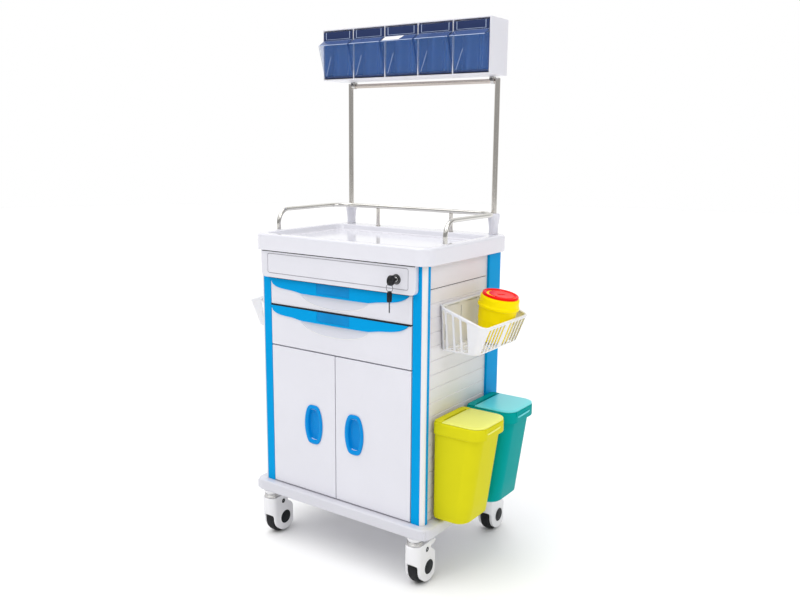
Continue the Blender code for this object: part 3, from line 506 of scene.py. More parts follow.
# the base shell and its pads take the darker white as painted shade
put(loft("base_shell", rings), BASE_SHADED, "cabinet", "body_white", "base_plate", angle=40)
for sx in (-1, 1):
    for sy in (-1, 1):
        xs = sorted((sx * 0.226, sx * 0.3152))
        ys = sorted((sy * 0.158, sy * 0.2227))
        tag = f"{'right' if sx > 0 else 'left'}_{'rear' if sy > 0 else 'front'}"
        pad = soft(box(f"base_pad_{tag}", xs, ys, (0.1503, 0.1776)), 0.0025, 2)
        put(pad, BASE_SHADED, "cabinet", "body_white")

# ================================================================ corner posts
Z0, Z1 = 0.1823, 0.9342
HEIGHT, MID = Z1 - Z0, (Z0 + Z1) / 2
front_blue = ([(0.2570, -0.1820), (0.2570, -0.2054), (0.2576, -0.2060), (0.2846, -0.2060), (0.2850, -0.2052)]
              + arc(0.2850, -0.1940, 0.0106, 270, 352, 8)
              + [(0.2962, -0.1918), (0.2970, -0.1914), (0.2970, -0.1826), (0.2964, -0.1820)])
strip = (arc(0.2850, -0.1940, 0.0120, 272, 356, 16) + arc(0.2850, -0.1940, 0.0110, 354, 274, 16))
rear_blue = fillet([(0.2570, 0.1330), (0.2970, 0.1330), (0.2970, 0.2070), (0.2570, 0.2070)],
                   [0.0006, 0.0016, 0.0100, 0.0010], 6)
for side, sign in (("left", -1), ("right", 1)):
    def side_of(points):
        return [(sign * x, y) for x, y in points]

    put(plate(f"post_front_{side}_blue", [side_of(front_blue)], HEIGHT, "xy", (0, 0, MID)), BLUE, "cabinet",
        "body_blue", f"post_front_{side}", angle=25)
    put(plate(f"post_front_{side}_strip", [side_of(strip)], HEIGHT - 0.0004, "xy", (0, 0, MID)), STRIP_AND_LIP_HIGHLIGHT,
        "cabinet", "body_white", angle=25)
    put(plate(f"post_rear_{side}_blue", [side_of(rear_blue)], HEIGHT, "xy", (0, 0, MID)), BLUE, "cabinet",
        "body_blue", f"post_rear_{side}", angle=25)

# ================================================================ side panels
def panel_section():
    outer = [(0.2890, Z0)]
    z = Z0 + 0.0262
    while z < Z1 - 0.08:
        top = z > 0.83
        w, d = (0.0018, 0.0024) if top else (0.0019, 0.0018)
        outer += [(0.2890, z - w), (0.2890 - d * 0.35, z - w * 0.72), (0.2890 - d * 0.85, z - w * 0.36),
                  (0.2890 - d, z), (0.2890 - d * 0.85, z + w * 0.36), (0.2890 - d * 0.35, z + w * 0.72),
                  (0.2890, z + w)]
        z += 0.0395
    return [(0.2860, Z1), (0.2860, Z0)] + outer + [(0.2890, Z1)]


section = panel_section()
for side, sign in (("left", -1), ("right", 1)):
    y0, y1 = -0.1817, 0.1327
    panel = plate(f"side_panel_{side}_grooved", [[(-x, z) for x, z in section]], y1 - y0, "xz",
                  (0, (y0 + y1) / 2, 0))
    if sign > 0:
        other = mirrored(panel, f"side_panel_{side}_sheet")
        bpy.data.objects.remove(panel, do_unlink=True)
        panel = other
    put(panel, PANEL, "cabinet", "body_white", f"side_panel_{side}", angle=18)
    # painted shadow: a dark strip deepens the joint below the first plank
    xs = sorted((sign * 0.2868, sign * 0.28765))
    seam = Z0 + 0.0262 + 16 * 0.0395
    put(box(f"panel_seam_{side}", xs, (y0 + 0.0004, 0.1262), (seam - 0.0007, seam + 0.0007)), GAP_SHADOW_GREY, "cabinet",
        "body_white")
    # flat margin that closes the grooves beside the rear post
    xs = sorted((sign * 0.2862, sign * 0.28928))
    put(box(f"panel_margin_{side}", xs, (0.1262, 0.1329), (Z0 + 0.0005, Z1 - 0.0005)), STRIP_AND_LIP_HIGHLIGHT, "cabinet",
        "body_white")

# ================================================================ top deck
def deck_ring(x, y0, y1, radius, z, steps=14):
    return [(px, py, z) for px, py in round_rect(-x, x, y0, y1, radius, steps)]


rings = [deck_ring(0.3015, -0.2115, 0.2115, 0.010, 0.9347), deck_ring(0.3015, -0.2115, 0.2115, 0.010, 0.9090),
         deck_ring(0.3022, -0.2122, 0.2122, 0.012, 0.9081), deck_ring(0.3120, -0.2230, 0.2230, 0.042, 0.9080),
         deck_ring(0.3140, -0.2250, 0.2250, 0.0440, 0.9086), deck_ring(0.3148, -0.2258, 0.2258, 0.0448, 0.9100),
         deck_ring(0.3150, -0.2260, 0.2260, 0.0450, 0.9125), deck_ring(0.3144, -0.2254, 0.2254, 0.0446, 0.9480)]
for a in (15, 30, 45, 60, 75, 90):
    k = math.radians(a)
    inset = 0.0006 + 0.0080 * (1 - math.cos(k))
    rings.append(deck_ring(0.3150 - inset, -0.2260 + inset, 0.2260 - inset, 0.0450 - inset,
                           0.9485 + 0.0085 * math.sin(k)))
rings += [deck_ring(0.2900, -0.2035, 0.1560, 0.0360, 0.9570), deck_ring(0.2880, -0.2015, 0.1535, 0.0345, 0.9567),
          deck_ring(0.2864, -0.2000, 0.1515, 0.0332, 0.9556), deck_ring(0.2852, -0.1988, 0.1502, 0.0322, 0.9538),
          deck_ring(0.2812, -0.1948, 0.1464, 0.0290, 0.9440), deck_ring(0.2790, -0.1926, 0.1444, 0.0274, 0.9409),
          deck_ring(0.2760, -0.1896, 0.1416, 0.0250, 0.9396), deck_ring(0.2720, -0.1856, 0.1380, 0.0220, 0.9390)]
put(loft("top_deck_shell", rings), DECK, "cabinet", "body_white", "top_deck", angle=50)

# ================================================================ guard rail
RX, RY0, RY1, RZ = 0.300, -0.120, 0.172, 1.019
half = [(RY0, 0.9570), (RY0, 0.9660)]
half += [(RY0 + 0.042 - 0.042 * math.cos(math.radians(a)), RZ - 0.042 + 0.042 * math.sin(math.radians(a)))
         for a in range(0, 91, 6)]
path = [(RX, y, z) for y, z in half]
path += [(x, y, RZ) for x, y in arc(RX - 0.060, RY1 - 0.060, 0.060, 0, 90, 18)]
path += [(-x, y, z) for x, y, z in path[::-1]]
put(tube("guard_rail_tube", path, 0.0066, 7), RAIL, "cabinet", "stainless_tube", "guard_rail", angle=50)
for side, x in (("left", -0.138), ("right", 0.138)):
    post = lathe(f"rail_post_{side}",
                 [(0.0, 0.9570), (0.0076, 0.9570), (0.0076, 0.9585), (0.0074, 0.9594), (0.0061, 0.9598),
                  (0.0061, 1.0118), (0.0062, 1.0136), (0.0058, 1.0170), (0.0, 1.0170)],
                 Matrix.Translation((x, RY1, 0)), 32)
    put(post, UPRIGHT, "cabinet", "stainless_tube")
for side, x in (("left", -RX), ("right", RX)):
    foot = lathe(f"rail_foot_{side}",
                 [(0.0062, 0.9570), (0.0088, 0.9570), (0.0086, 0.9580), (0.0072, 0.9586), (0.0062, 0.9588)],
                 Matrix.Translation((x, RY0, 0)), 32, closed=True)
    put(foot, WHITE, "cabinet", "body_white")

# ================================================================ rack frame
UX, UY = 0.270, 0.200


def flutes(a, z):
    k = max(0.0, min(1.0, (z - 0.9680) / 0.010)) * max(0.0, min(1.0, (1.0165 - z) / 0.010))
    return 1.0 - 0.045 * k * (0.5 + 0.5 * math.cos(10 * a))


for side, sign in (("left", -1), ("right", 1)):
    profile = [(0.0, 0.9650), (0.0086, 0.9650), (0.0086, 1.0165), (0.0092, 1.0180), (0.0166, 1.0180),
               (0.0180, 1.0166)]
    for i in range(13):
        t = i / 12
        z = 1.0150 - t * 0.0560
        r = 0.0185 - 0.0043 * (1 - math.cos(math.pi * min(1.0, t * 1.25))) / 2 - 0.0004 * t
        profile.append((r, z))
    profile += [(0.0148, 0.9578), (0.0140, 0.9573), (0.0, 0.9573)]
    put(lathe(f"rack_socket_{side}_vase", profile, Matrix.Translation((sign * UX, UY, 0)), 120,
              radius_at=flutes), WHITE, "cabinet", "body_white", f"rack_socket_{side}", angle=38)
    upright = lathe(f"rack_upright_{side}",
                    [(0.0, 0.9655), (0.0080, 0.9655), (0.0080, 1.4062), (0.0077, 1.4078), (0.0068, 1.4088),
                     (0.0050, 1.4090), (0.0, 1.4090)], Matrix.Translation((sign * UX, UY, 0)), 48)
    put(upright, UPRIGHT, "cabinet", "stainless_tube", *(("rack_frame",) if sign > 0 else ()))
    # clamp lug between the crossbar and the housing, with its screw
    lug = box(f"rack_lug_{side}", sorted((sign * 0.2490, sign * 0.2610)), (0.1865, 0.2080), (1.4060, 1.4127))
    put(soft(lug, 0.0012, 2), ZINC, "cabinet", "stainless_tube")
    screw = lathe(f"rack_screw_{side}",
                  [(0.0, 0.0), (0.0030, 0.0), (0.0042, -0.0006), (0.0046, -0.0018), (0.0046, -0.0030),
                   (0.0, -0.0030)], Matrix.Translation((sign * 0.255, 0.1835, 1.4055)) @ turned("-y"), 24)
    put(screw, DARK_STEEL, "cabinet", "stainless_tube")
    collar = lathe(f"rack_collar_{side}",
                   [(0.0068, -0.0055), (0.0082, -0.0055), (0.0086, -0.0045), (0.0086, 0.0045),
                    (0.0082, 0.0055), (0.0068, 0.0055)],
                   Matrix.Translation((sign * 0.255, UY, 1.4005)) @ turned("x"), 32, closed=True)
    put(collar, ZINC, "cabinet", "stainless_tube")
# the crossbar takes the shaded copy of the stainless as painted shade
put(cylinder("rack_crossbar", 0.0068, 2 * UX - 0.0120, Matrix.Translation((0, UY, 1.4005)) @ turned("x"), 40),
    CROSS_SHADED, "cabinet", "stainless_tube")

# ================================================================ rack housing
RACK_X, RACK_Y0, RACK_Y1, RACK_Z0, RACK_Z1, WALL = 0.300, 0.097, 0.199, 1.413, 1.567, 0.003
housing = soft(box("rack_housing_shell", (-RACK_X, RACK_X), (RACK_Y0, RACK_Y1), (RACK_Z0, RACK_Z1)), 0.0012, 3)
pitch = (2 * RACK_X - WALL) / 5
cells = []
for i in range(5):
    x0 = -RACK_X + WALL + i * pitch
    cells.append(plate(f"cell_{i}", [round_rect(x0, x0 + pitch - WALL, RACK_Z0 + 0.0035, RACK_Z1 - 0.0035,
                                                0.0008, 3)], 0.146, "xz", (0, 0.123, 0)))
cut(housing, joined("cells", *cells))
put(housing, WHITE, "cabinet", "body_white", "rack_housing")

# ================================================================ tilt bins
PY, PZ = 0.1065, 1.4275
skin = [(0.1495, 1.4177)] + arc(PY, PZ, 0.0090, 268, 186, 12)
skin += fillet([(0.0982, 1.4400), (0.0700, 1.5165), (0.0965, 1.5330), (0.0965, 1.5590), (0.1300, 1.5590),
                (0.1300, 1.5330), (0.1855, 1.5330), (0.1855, 1.5295), (0.1495, 1.4177)],
               [0.0, 0.0022, 0.0016, 0.0008, 0.0020, 0.0030, 0.0010, 0.0010, 0.0], 4, closed=False)[1:-1]
core = fillet([(0.0995, 1.6000), (0.0995, 1.5322), (0.0745, 1.5160), (0.1000, 1.4290), (0.1075, 1.4200),
               (0.1485, 1.4200), (0.1833, 1.5300), (0.1833, 1.6000)],
              [0.0, 0.0010, 0.0012, 0.0030, 0.0040, 0.0030, 0.0, 0.0], 4)
along = Vector((0.0265, 0.0165)).normalized()
away = Vector((-along.y, along.x))
for i in range(5):
    x0 = -RACK_X + WALL + i * pitch + 0.0008
    x1 = x0 + pitch - WALL - 0.0016
    middle = (x0 + x1) / 2
    body, slot = f"tilt_bin_{i + 1}_body", "bin_blue"
    shell = plate(f"tilt_bin_{i + 1}_shell", [skin], x1 - x0, "yz", (middle, 0, 0))
    cut(shell, plate("void", [core], x1 - x0 - 0.0036, "yz", (middle, 0, 0)))
    soft(shell, 0.00035, 2, 50)
    put(shell, BIN, body, slot, f"tilt_bin_{i + 1}", angle=30)

    def facet(name, s0, s1, n0, n1, xa, xb, slant=0.0):
        """A slab on the slanted lip: s runs up the lip, n stands off it."""
        start = Vector((0.0700, 1.5165))
        ring = []
        for s, n in ((s0, n0), (s1, n0), (s1, n1), (s0, n1)):
            p = start + along * s + away * n
            ring.append((p.x, p.y))
        bm = bmesh.new()
        low = [bm.verts.new((xa, y, z)) for y, z in ring]
        high = [bm.verts.new((xb + (slant if k in (1, 2) else 0.0), y, z)) for k, (y, z) in enumerate(ring)]
        for k in range(4):
            m = (k + 1) % 4
            bm.faces.new((low[k], low[m], high[m], high[k]))
        bm.faces.new(low[::-1])
        bm.faces.new(high)
        return from_bm(name, bm)

    put(soft(facet(f"tilt_lip_{i + 1}", 0.0022, 0.0296, -0.0002, 0.0009, x0 + 0.0012, x1 - 0.0012), 0.0003, 2),
        BIN_LIP, body, slot)
    # painted highlights: pale beads along the lower and upper edges of the slanted lip
    bead = start_lip = Vector((0.0700, 1.5165)) + along * 0.0014 + away * 0.0001
    put(tube(f"tilt_bead_{i + 1}", [(x0 + 0.0008, bead.x, bead.y), (x1 - 0.0008, bead.x, bead.y)], 0.0009, 3),
        BIN_PALE_AND_HIGHLIGHT, body, slot, angle=60)
    top = Vector((0.0700, 1.5165)) + along * 0.0300 + away * 0.0002
    put(tube(f"tilt_bead_top_{i + 1}", [(x0 + 0.0008, top.x, top.y), (x1 - 0.0008, top.x, top.y)], 0.0007, 3),
        BIN_PALE_AND_HIGHLIGHT, body, slot, angle=60)
    # the liner behind the clear panel, its back swept into two soft flutes
    ys_back = []
    for k in range(41):
        t = k / 40
        bulge = 0.0110 * math.cos(2 * math.pi * (t * 2.0 + 0.15)) * math.sin(math.pi * t) ** 0.7
        ys_back.append((x0 + 0.0030 + t * (x1 - x0 - 0.0060), 0.1420 + bulge))
    grid = []
    for z, lean_y, near in ((1.4220, -0.0080, 0.1012), (1.4300, -0.0040, 0.0995), (1.4700, 0.0, 0.0992),
                            (1.5000, 0.0, 0.0992), (1.5290, 0.0, 0.0992)):
        row = [(x0 + 0.0022, near, z)] + [(x, y + lean_y, z) for x, y in ys_back] + [(x1 - 0.0022, near, z)]
        grid.append(row + [(x, y + 0.0008 + (0.0 if 0 < n < 42 else -0.0), z) for n, (x, y, _) in
                           reversed(list(enumerate([(px - (0.0007 if m == 0 else 0) + (0.0007 if m == 42 else 0),
                                                     py, z) for m, (px, py, _) in enumerate(row)])))])
    put(loft(f"tilt_liner_{i + 1}", grid), BIN_IN, body, slot, angle=60, weighted=False)
    base_rim = plate(f"tilt_liner_floor_{i + 1}", [[(0.0990, 1.4195), (0.1480, 1.4195), (0.1480, 1.4225),
                                                    (0.0990, 1.4260)]], x1 - x0 - 0.0046, "yz", (middle, 0, 0))
    put(base_rim, BIN_LINE, body, slot)
    # outline of the clear panel, and a painted highlight streak along the fold inside its left wall
    for tag, x in (("a", x0 + 0.0006), ("b", x1 - 0.0006)):
        edge = [(x, 0.0705, 1.5150), (x, 0.0968, 1.4345), (x, 0.0990, 1.4230), (x, 0.1040, 1.4188)]
        put(tube(f"tilt_edge_{tag}_{i + 1}", edge, 0.00032, 2), BIN_LINE, body, slot, angle=60)
        put(tube(f"tilt_wing_{tag}_{i + 1}", [(x, 0.0705, 1.5160), (x, 0.0965, 1.5325)], 0.0005, 2), BIN_LINE,
            body, slot, angle=60)
    put(tube(f"tilt_rib_{i + 1}", [(x0 + 0.0070, 0.1001, 1.4270), (x0 + 0.0385, 0.0838, 1.4830)], 0.0008, 3),
        BIN_PALE_AND_HIGHLIGHT, body, slot, angle=60)
    # label band with its two holders and lower ledge
    band = box(f"tilt_band_{i + 1}", (x0 + 0.0006, x1 - 0.0006), (0.0959, 0.0985), (1.5338, 1.5586))
    put(soft(band, 0.0004, 2), BIN_BAND, body, slot)
    for tag, xa, xb in (("l", x0 + 0.0100, x0 + 0.0116), ("r", x1 - 0.0116, x1 - 0.0100)):
        put(soft(box(f"tilt_holder_{tag}_{i + 1}", (xa, xb), (0.0949, 0.0965), (1.5362, 1.5586)), 0.0004, 2),
            BIN_PALE_AND_HIGHLIGHT, body, slot)
    put(soft(box(f"tilt_ledge_{i + 1}", (x0 + 0.0116, x1 - 0.0116), (0.0951, 0.0965), (1.5362, 1.5372)), 0.0003,
             1), BIN_PALE_AND_HIGHLIGHT, body, slot)
    if i == 2:
        put(facet("tilt_label", 0.0040, 0.0272, 0.0010, 0.0013, x0 + 0.0030, x0 + 0.0640, 0.0070), PAPER, body,
            slot)

# ================================================================ drawers
FRONT_Y = -0.2075
GRIP = [(-0.254, 0.8255), (-0.249, 0.812), (-0.243, 0.8055), (-0.225, 0.7985), (-0.197, 0.796),
        (-0.162, 0.794), (-0.137, 0.7895), (-0.120, 0.789), (0.105, 0.789), (0.121, 0.7915),
        (0.147, 0.7965), (0.186, 0.800), (0.217, 0.806), (0.236, 0.815), (0.248, 0.8255)]
SEAT = [(-0.2543, 0.8255), (-0.2495, 0.8115), (-0.2433, 0.8050), (-0.2252, 0.7980), (-0.197, 0.7955),
        (-0.162, 0.7935), (-0.137, 0.7890), (-0.120, 0.7885), (0.105, 0.7885), (0.1212, 0.7910),
        (0.1472, 0.7960), (0.1862, 0.7995), (0.2173, 0.8055), (0.2364, 0.8147), (0.2485, 0.8253)]
for tag, z0, z1, drop in (("middle", 0.7468, 0.8264, 0.0), ("lower", 0.6226, 0.7440, 0.081)):
    body = f"{tag}_drawer"
    front = soft(box(f"{tag}_front_face", (-0.2545, 0.2545), (FRONT_Y, -0.1935), (z0, z1)), 0.0016, 3)
    bm = bmesh.new()
    bmesh.ops.create_uvsphere(bm, u_segments=96, v_segments=64, radius=1.0)
    bmesh.ops.scale(bm, vec=Vector((0.124, 0.0088, 0.036)), verts=bm.verts)
    scoop = from_bm("scoop", bm, Matrix.Translation((-0.014, FRONT_Y - 0.0007, 0.790 - drop)))
    cut(front, scoop)
    seat = [(-0.2543, 0.8290)] + flowing(SEAT, 2) + [(0.2485, 0.8290)]
    cut(front, plate("seat", [[(x, z - drop) for x, z in seat]], 0.020, "xz", (0, FRONT_Y + 0.004 - 0.010, 0)))
    put(front, FRONT, body, "body_white", f"{tag}_drawer_front", angle=13)
    # painted highlight: a paler ridge along the scoop's lower rim
    smile = []
    for k in range(61):
        a = math.radians(196 + (344 - 196) * k / 60)
        smile.append((-0.014 + 0.1232 * math.cos(a), FRONT_Y + 0.0004, 0.790 - drop + 0.0356 * math.sin(a)))
    put(tube(f"{tag}_scoop_lip", smile, 0.0016, 4), STRIP_AND_LIP_HIGHLIGHT, body, "body_white", angle=60)
    curve = flowing(GRIP, 3)
    grip = plate(f"{tag}_grip_band", [[(x, z - drop) for x, z in curve]], 0.0064, "xz", (0, FRONT_Y + 0.0004, 0))
    soft(grip, 0.0009, 3, 55)
    cut(grip, plate("window", [round_rect(-0.0745, 0.0455, 0.7950 - drop, 0.8246 - drop, 0.0012, 3)], 0.0020,
                    "xz", (0, FRONT_Y - 0.0028, 0)))
    put(grip, BLUE, body, "body_blue", f"{tag}_drawer_grip", angle=25)
    pane = plate(f"{tag}_label_pane", [round_rect(-0.0740, 0.0450, 0.7955 - drop, 0.8241 - drop, 0.0010, 3)],
                 0.0012, "xz", (0, FRONT_Y - 0.0018, 0))
    put(soft(pane, 0.0003, 2), WINDOW, body, "body_blue")

    # painted shade: a dark strip along the upper edge of the front stands in for the shadow line of the gap above it
    rise = 0.0019 if tag == "lower" else 0.0003
    painted_line = box(f"{tag}_front_seal", (-0.2538, 0.2538), (-0.2107, -0.2000), (z1 - 0.0010, z1 + rise))
    put(soft(painted_line, 0.0003, 2), HUB_AND_SHADE_BLACK, body, "body_white")

# top drawer front
outline = ([(0.2745, 0.9068), (-0.279, 0.9068)]
           + arc(-0.264, 0.844, 0.015, 180, 270, 12) + arc(0.2595, 0.844, 0.015, 270, 360, 12))
top = plate("top_front_face", [outline], 0.0132, "xz", (0, -0.2139, 0))
soft(top, 0.0022, 4, 55)
groove_out = round_rect(-0.2548, 0.2518, 0.8408, 0.9008, 0.0075, 6)
groove_in = round_rect(-0.2524, 0.2494, 0.8432, 0.8984, 0.0055, 6)
cut(top, plate("groove", [groove_out, groove_in], 0.0026, "xz", (0, -0.2205, 0)))
lx, lz, ly = 0.213, 0.868, -0.2205
cut(top, cylinder("bore", 0.0098, 0.04, Matrix.Translation((lx, ly, lz)) @ turned("-y"), 48))
put(top, FRONT, "top_drawer", "body_white", "top_drawer_front", angle=20)
# painted shade: a grey plate lies in the groove of the top front
put(plate("top_front_groove", [round_rect(-0.2546, 0.2516, 0.8410, 0.9006, 0.0073, 6),
                               round_rect(-0.2526, 0.2496, 0.8430, 0.8986, 0.0057, 6)], 0.0004, "xz",
          (0, -0.21935, 0)), GROOVE_PAINTED_SHADE, "top_drawer", "body_white")
for k, (px, pz) in enumerate(((-0.2440, 0.8520), (0.2400, 0.8520))):
    dimple = lathe(f"top_front_plug_{k}", [(0.0, 0.0006), (0.0026, 0.0006), (0.0036, 0.0001), (0.0036, -0.0010),
                                           (0.0, -0.0010)],
                   Matrix.Translation((px, -0.2205, pz)) @ turned("-y"), 32)
    put(dimple, FRONT, "top_drawer", "body_white")

# painted shade: dark strips on the top front's upper edge and under it stand in for the shadow lines of the gaps
for name, xs, ys, zs in (("top_front_seal", (-0.2768, 0.2722), (-0.2208, -0.2150), (0.9053, 0.9070)),
                         ("top_front_skirt", (-0.2530, 0.2530), (-0.2192, -0.2090), (0.8272, 0.8296))):
    put(soft(box(name, xs, ys, zs), 0.0003, 2), HUB_AND_SHADE_BLACK, "top_drawer", "body_white")

# ================================================================ lock and keys
at_lock = Matrix.Translation((lx, ly, lz)) @ turned("-y")
barrel = lathe("lock_face",
               [(0.0062, 0.0026), (0.0078, 0.0030), (0.0108, 0.0030), (0.0121, 0.0024), (0.0125, 0.0012),
                (0.0125, 0.0003), (0.0095, 0.0003), (0.0095, -0.0215), (0.0062, -0.0215)], at_lock, 64,
               closed=True)
put(barrel, DARK_STEEL, "top_drawer", "runner_steel", "lock_barrel")
ring = lathe("lock_surround", [(0.0126, 0.0003), (0.0140, 0.0003), (0.0139, 0.0011), (0.0131, 0.0016),
                               (0.0126, 0.0013)], at_lock, 64, closed=True)
put(ring, BLACK, "top_drawer", "key_black")
key_outline = [(ly - 0.0026, lz + 0.0034), (ly - 0.0120, lz + 0.0034)]
key_outline += arc(ly - 0.0250, lz, 0.0140, 14.5, 345.5, 48)
key_outline += [(ly - 0.0120, lz - 0.0034), (ly - 0.0026, lz - 0.0034)]
hole = arc(-0.2515, 0.8590, 0.0026, 0, 345, 23)
bow = soft(plate("key_bow", [key_outline, hole], 0.0074, "yz", (lx, 0, 0)), 0.0021, 4, 60)
put(bow, BLACK, "lock_key_body", "key_black", "lock_key", angle=35)
plug = lathe("lock_plug", [(0.0, 0.0034), (0.0052, 0.0034), (0.0059, 0.0027), (0.0059, -0.0215), (0.0, -0.0215)],
             at_lock, 48)
put(plug, CHROME, "lock_key_body", "runner_steel")
for k, dx in enumerate((-0.00385, 0.00385)):
    dish = lathe(f"key_boss_{k}", [(0.0, 0.0004), (0.0062, 0.0004), (0.0074, 0.0), (0.0074, -0.0004), (0.0, -0.0004)],
                 Matrix.Translation((lx + dx * 0.985, ly - 0.0278, lz + 0.0006)) @ turned("x"), 40)
    put(dish, BLACK, "lock_key_body", "key_black")

ry, rz_top, RING_R = -0.2515, 0.8590, 0.0105
wire = [(RING_R + 0.0008 * math.cos(math.radians(a)), 0.0008 * math.sin(math.radians(a)))
        for a in range(0, 360, 30)]
put(lathe("key_ring_wire", wire, Matrix.Translation((lx, ry, rz_top - RING_R)) @ turned("-y"), 72, closed=True),
    DARK_STEEL, "key_ring_body", "key_steel", "spare_key_ring", angle=60)
bt = rz_top - 2 * RING_R + 0.0035
spare = arc(ry, bt - 0.0095, 0.0090, 180, 0, 24) + fillet(
    [(ry + 0.0090, bt - 0.0095), (ry + 0.0084, bt - 0.0305), (ry - 0.0084, bt - 0.0305), (ry - 0.0090, bt - 0.0095)],
    [0.0, 0.0045, 0.0045, 0.0], 6, closed=False)[1:-1]
eye = arc(ry, bt - 0.0052, 0.0021, 0, 340, 17)
head = soft(plate("spare_key_head", [spare, eye], 0.0046, "yz", (lx, 0, 0)), 0.0013, 3, 60)
put(head, BLACK, "key_ring_body", "key_black", angle=35)
blade = [(ry - 0.0021, bt - 0.0290), (ry + 0.0021, bt - 0.0290), (ry + 0.0021, bt - 0.0380),
         (ry + 0.0009, bt - 0.0392), (ry + 0.0021, bt - 0.0404), (ry + 0.0021, bt - 0.0440),
         (ry + 0.0012, bt - 0.0450), (ry + 0.0021, bt - 0.0460), (ry + 0.0021, bt - 0.0500),
         (ry + 0.0006, bt - 0.0512), (ry + 0.0018, bt - 0.0524), (ry + 0.0018, bt - 0.0575),
         (ry, bt - 0.0598), (ry - 0.0021, bt - 0.0575)]
put(soft(plate("spare_key_blade", [blade], 0.0018, "yz", (lx, 0, 0)), 0.0002, 1), DARK_STEEL, "key_ring_body",
    "key_steel")

# ================================================================ doors
BARREL = [(-0.012, 0.0600), (0.012, 0.0600), (0.0215, 0.0540), (0.0290, 0.0360), (0.0335, 0.0140),
          (0.0335, -0.0140), (0.0290, -0.0360), (0.0215, -0.0540), (0.012, -0.0600),
          (-0.012, -0.0600), (-0.0215, -0.0540), (-0.0290, -0.0360), (-0.0335, -0.0140),
          (-0.0335, 0.0140), (-0.0290, 0.0360), (-0.0215, 0.0540)]
barrel_line = flowing(BARREL, 3, closed=True)
HANDLE_Z = 0.3985


def barrel_ring(inset, y, hx, narrow=0.0):
    sx, sz = (0.0335 - inset - narrow) / 0.0335, (0.0600 - inset) / 0.0600
    return [(hx + x * sx, y, HANDLE_Z + z * sz) for x, z in barrel_line]


for side, sign, hx in (("left", -1, -0.092), ("right", 1, 0.060)):
    xs = sorted((sign * 0.2545, -0.010 + 0.0012 * sign))
    door = soft(box(f"door_{side}_face", xs, (FRONT_Y, -0.1915), (0.1856, 0.6190)), 0.0018, 3)
    cut(door, plate("pocket", [round_rect(-0.0213, 0.0213, -0.0463, 0.0463, 0.0203, 8)], 0.020, "xz",
                    (hx, FRONT_Y + 0.0123 - 0.010, HANDLE_Z)))
    put(door, FRONT, f"{side}_door", "body_white", f"door_{side}", angle=25)
    F = FRONT_Y
    rings = [barrel_ring(0.0200, F + 0.0118, hx, 0.0004), barrel_ring(0.0145, F + 0.0116, hx),
             barrel_ring(0.0135, F + 0.0100, hx), barrel_ring(0.0134, F - 0.0002, hx),
             barrel_ring(0.0012, F - 0.0003, hx), barrel_ring(0.0, F - 0.0009, hx),
             barrel_ring(0.0, F - 0.0024, hx), barrel_ring(0.0006, F - 0.0034, hx),
             barrel_ring(0.0018, F - 0.0043, hx), barrel_ring(0.0038, F - 0.0048, hx),
             barrel_ring(0.0075, F - 0.0047, hx), barrel_ring(0.0098, F - 0.0043, hx),
             barrel_ring(0.0112, F - 0.0032, hx), barrel_ring(0.0124, F - 0.0008, hx),
             barrel_ring(0.0140, F + 0.0040, hx), barrel_ring(0.0158, F + 0.0076, hx),
             barrel_ring(0.0182, F + 0.0094, hx), barrel_ring(0.0215, F + 0.0100, hx),
             barrel_ring(0.0270, F + 0.0102, hx)]
    put(loft(f"door_handle_{side}_cup", rings), BLUE_HANDLE, f"{side}_door", "body_blue",
        f"door_handle_{side}", angle=55, weighted=False)

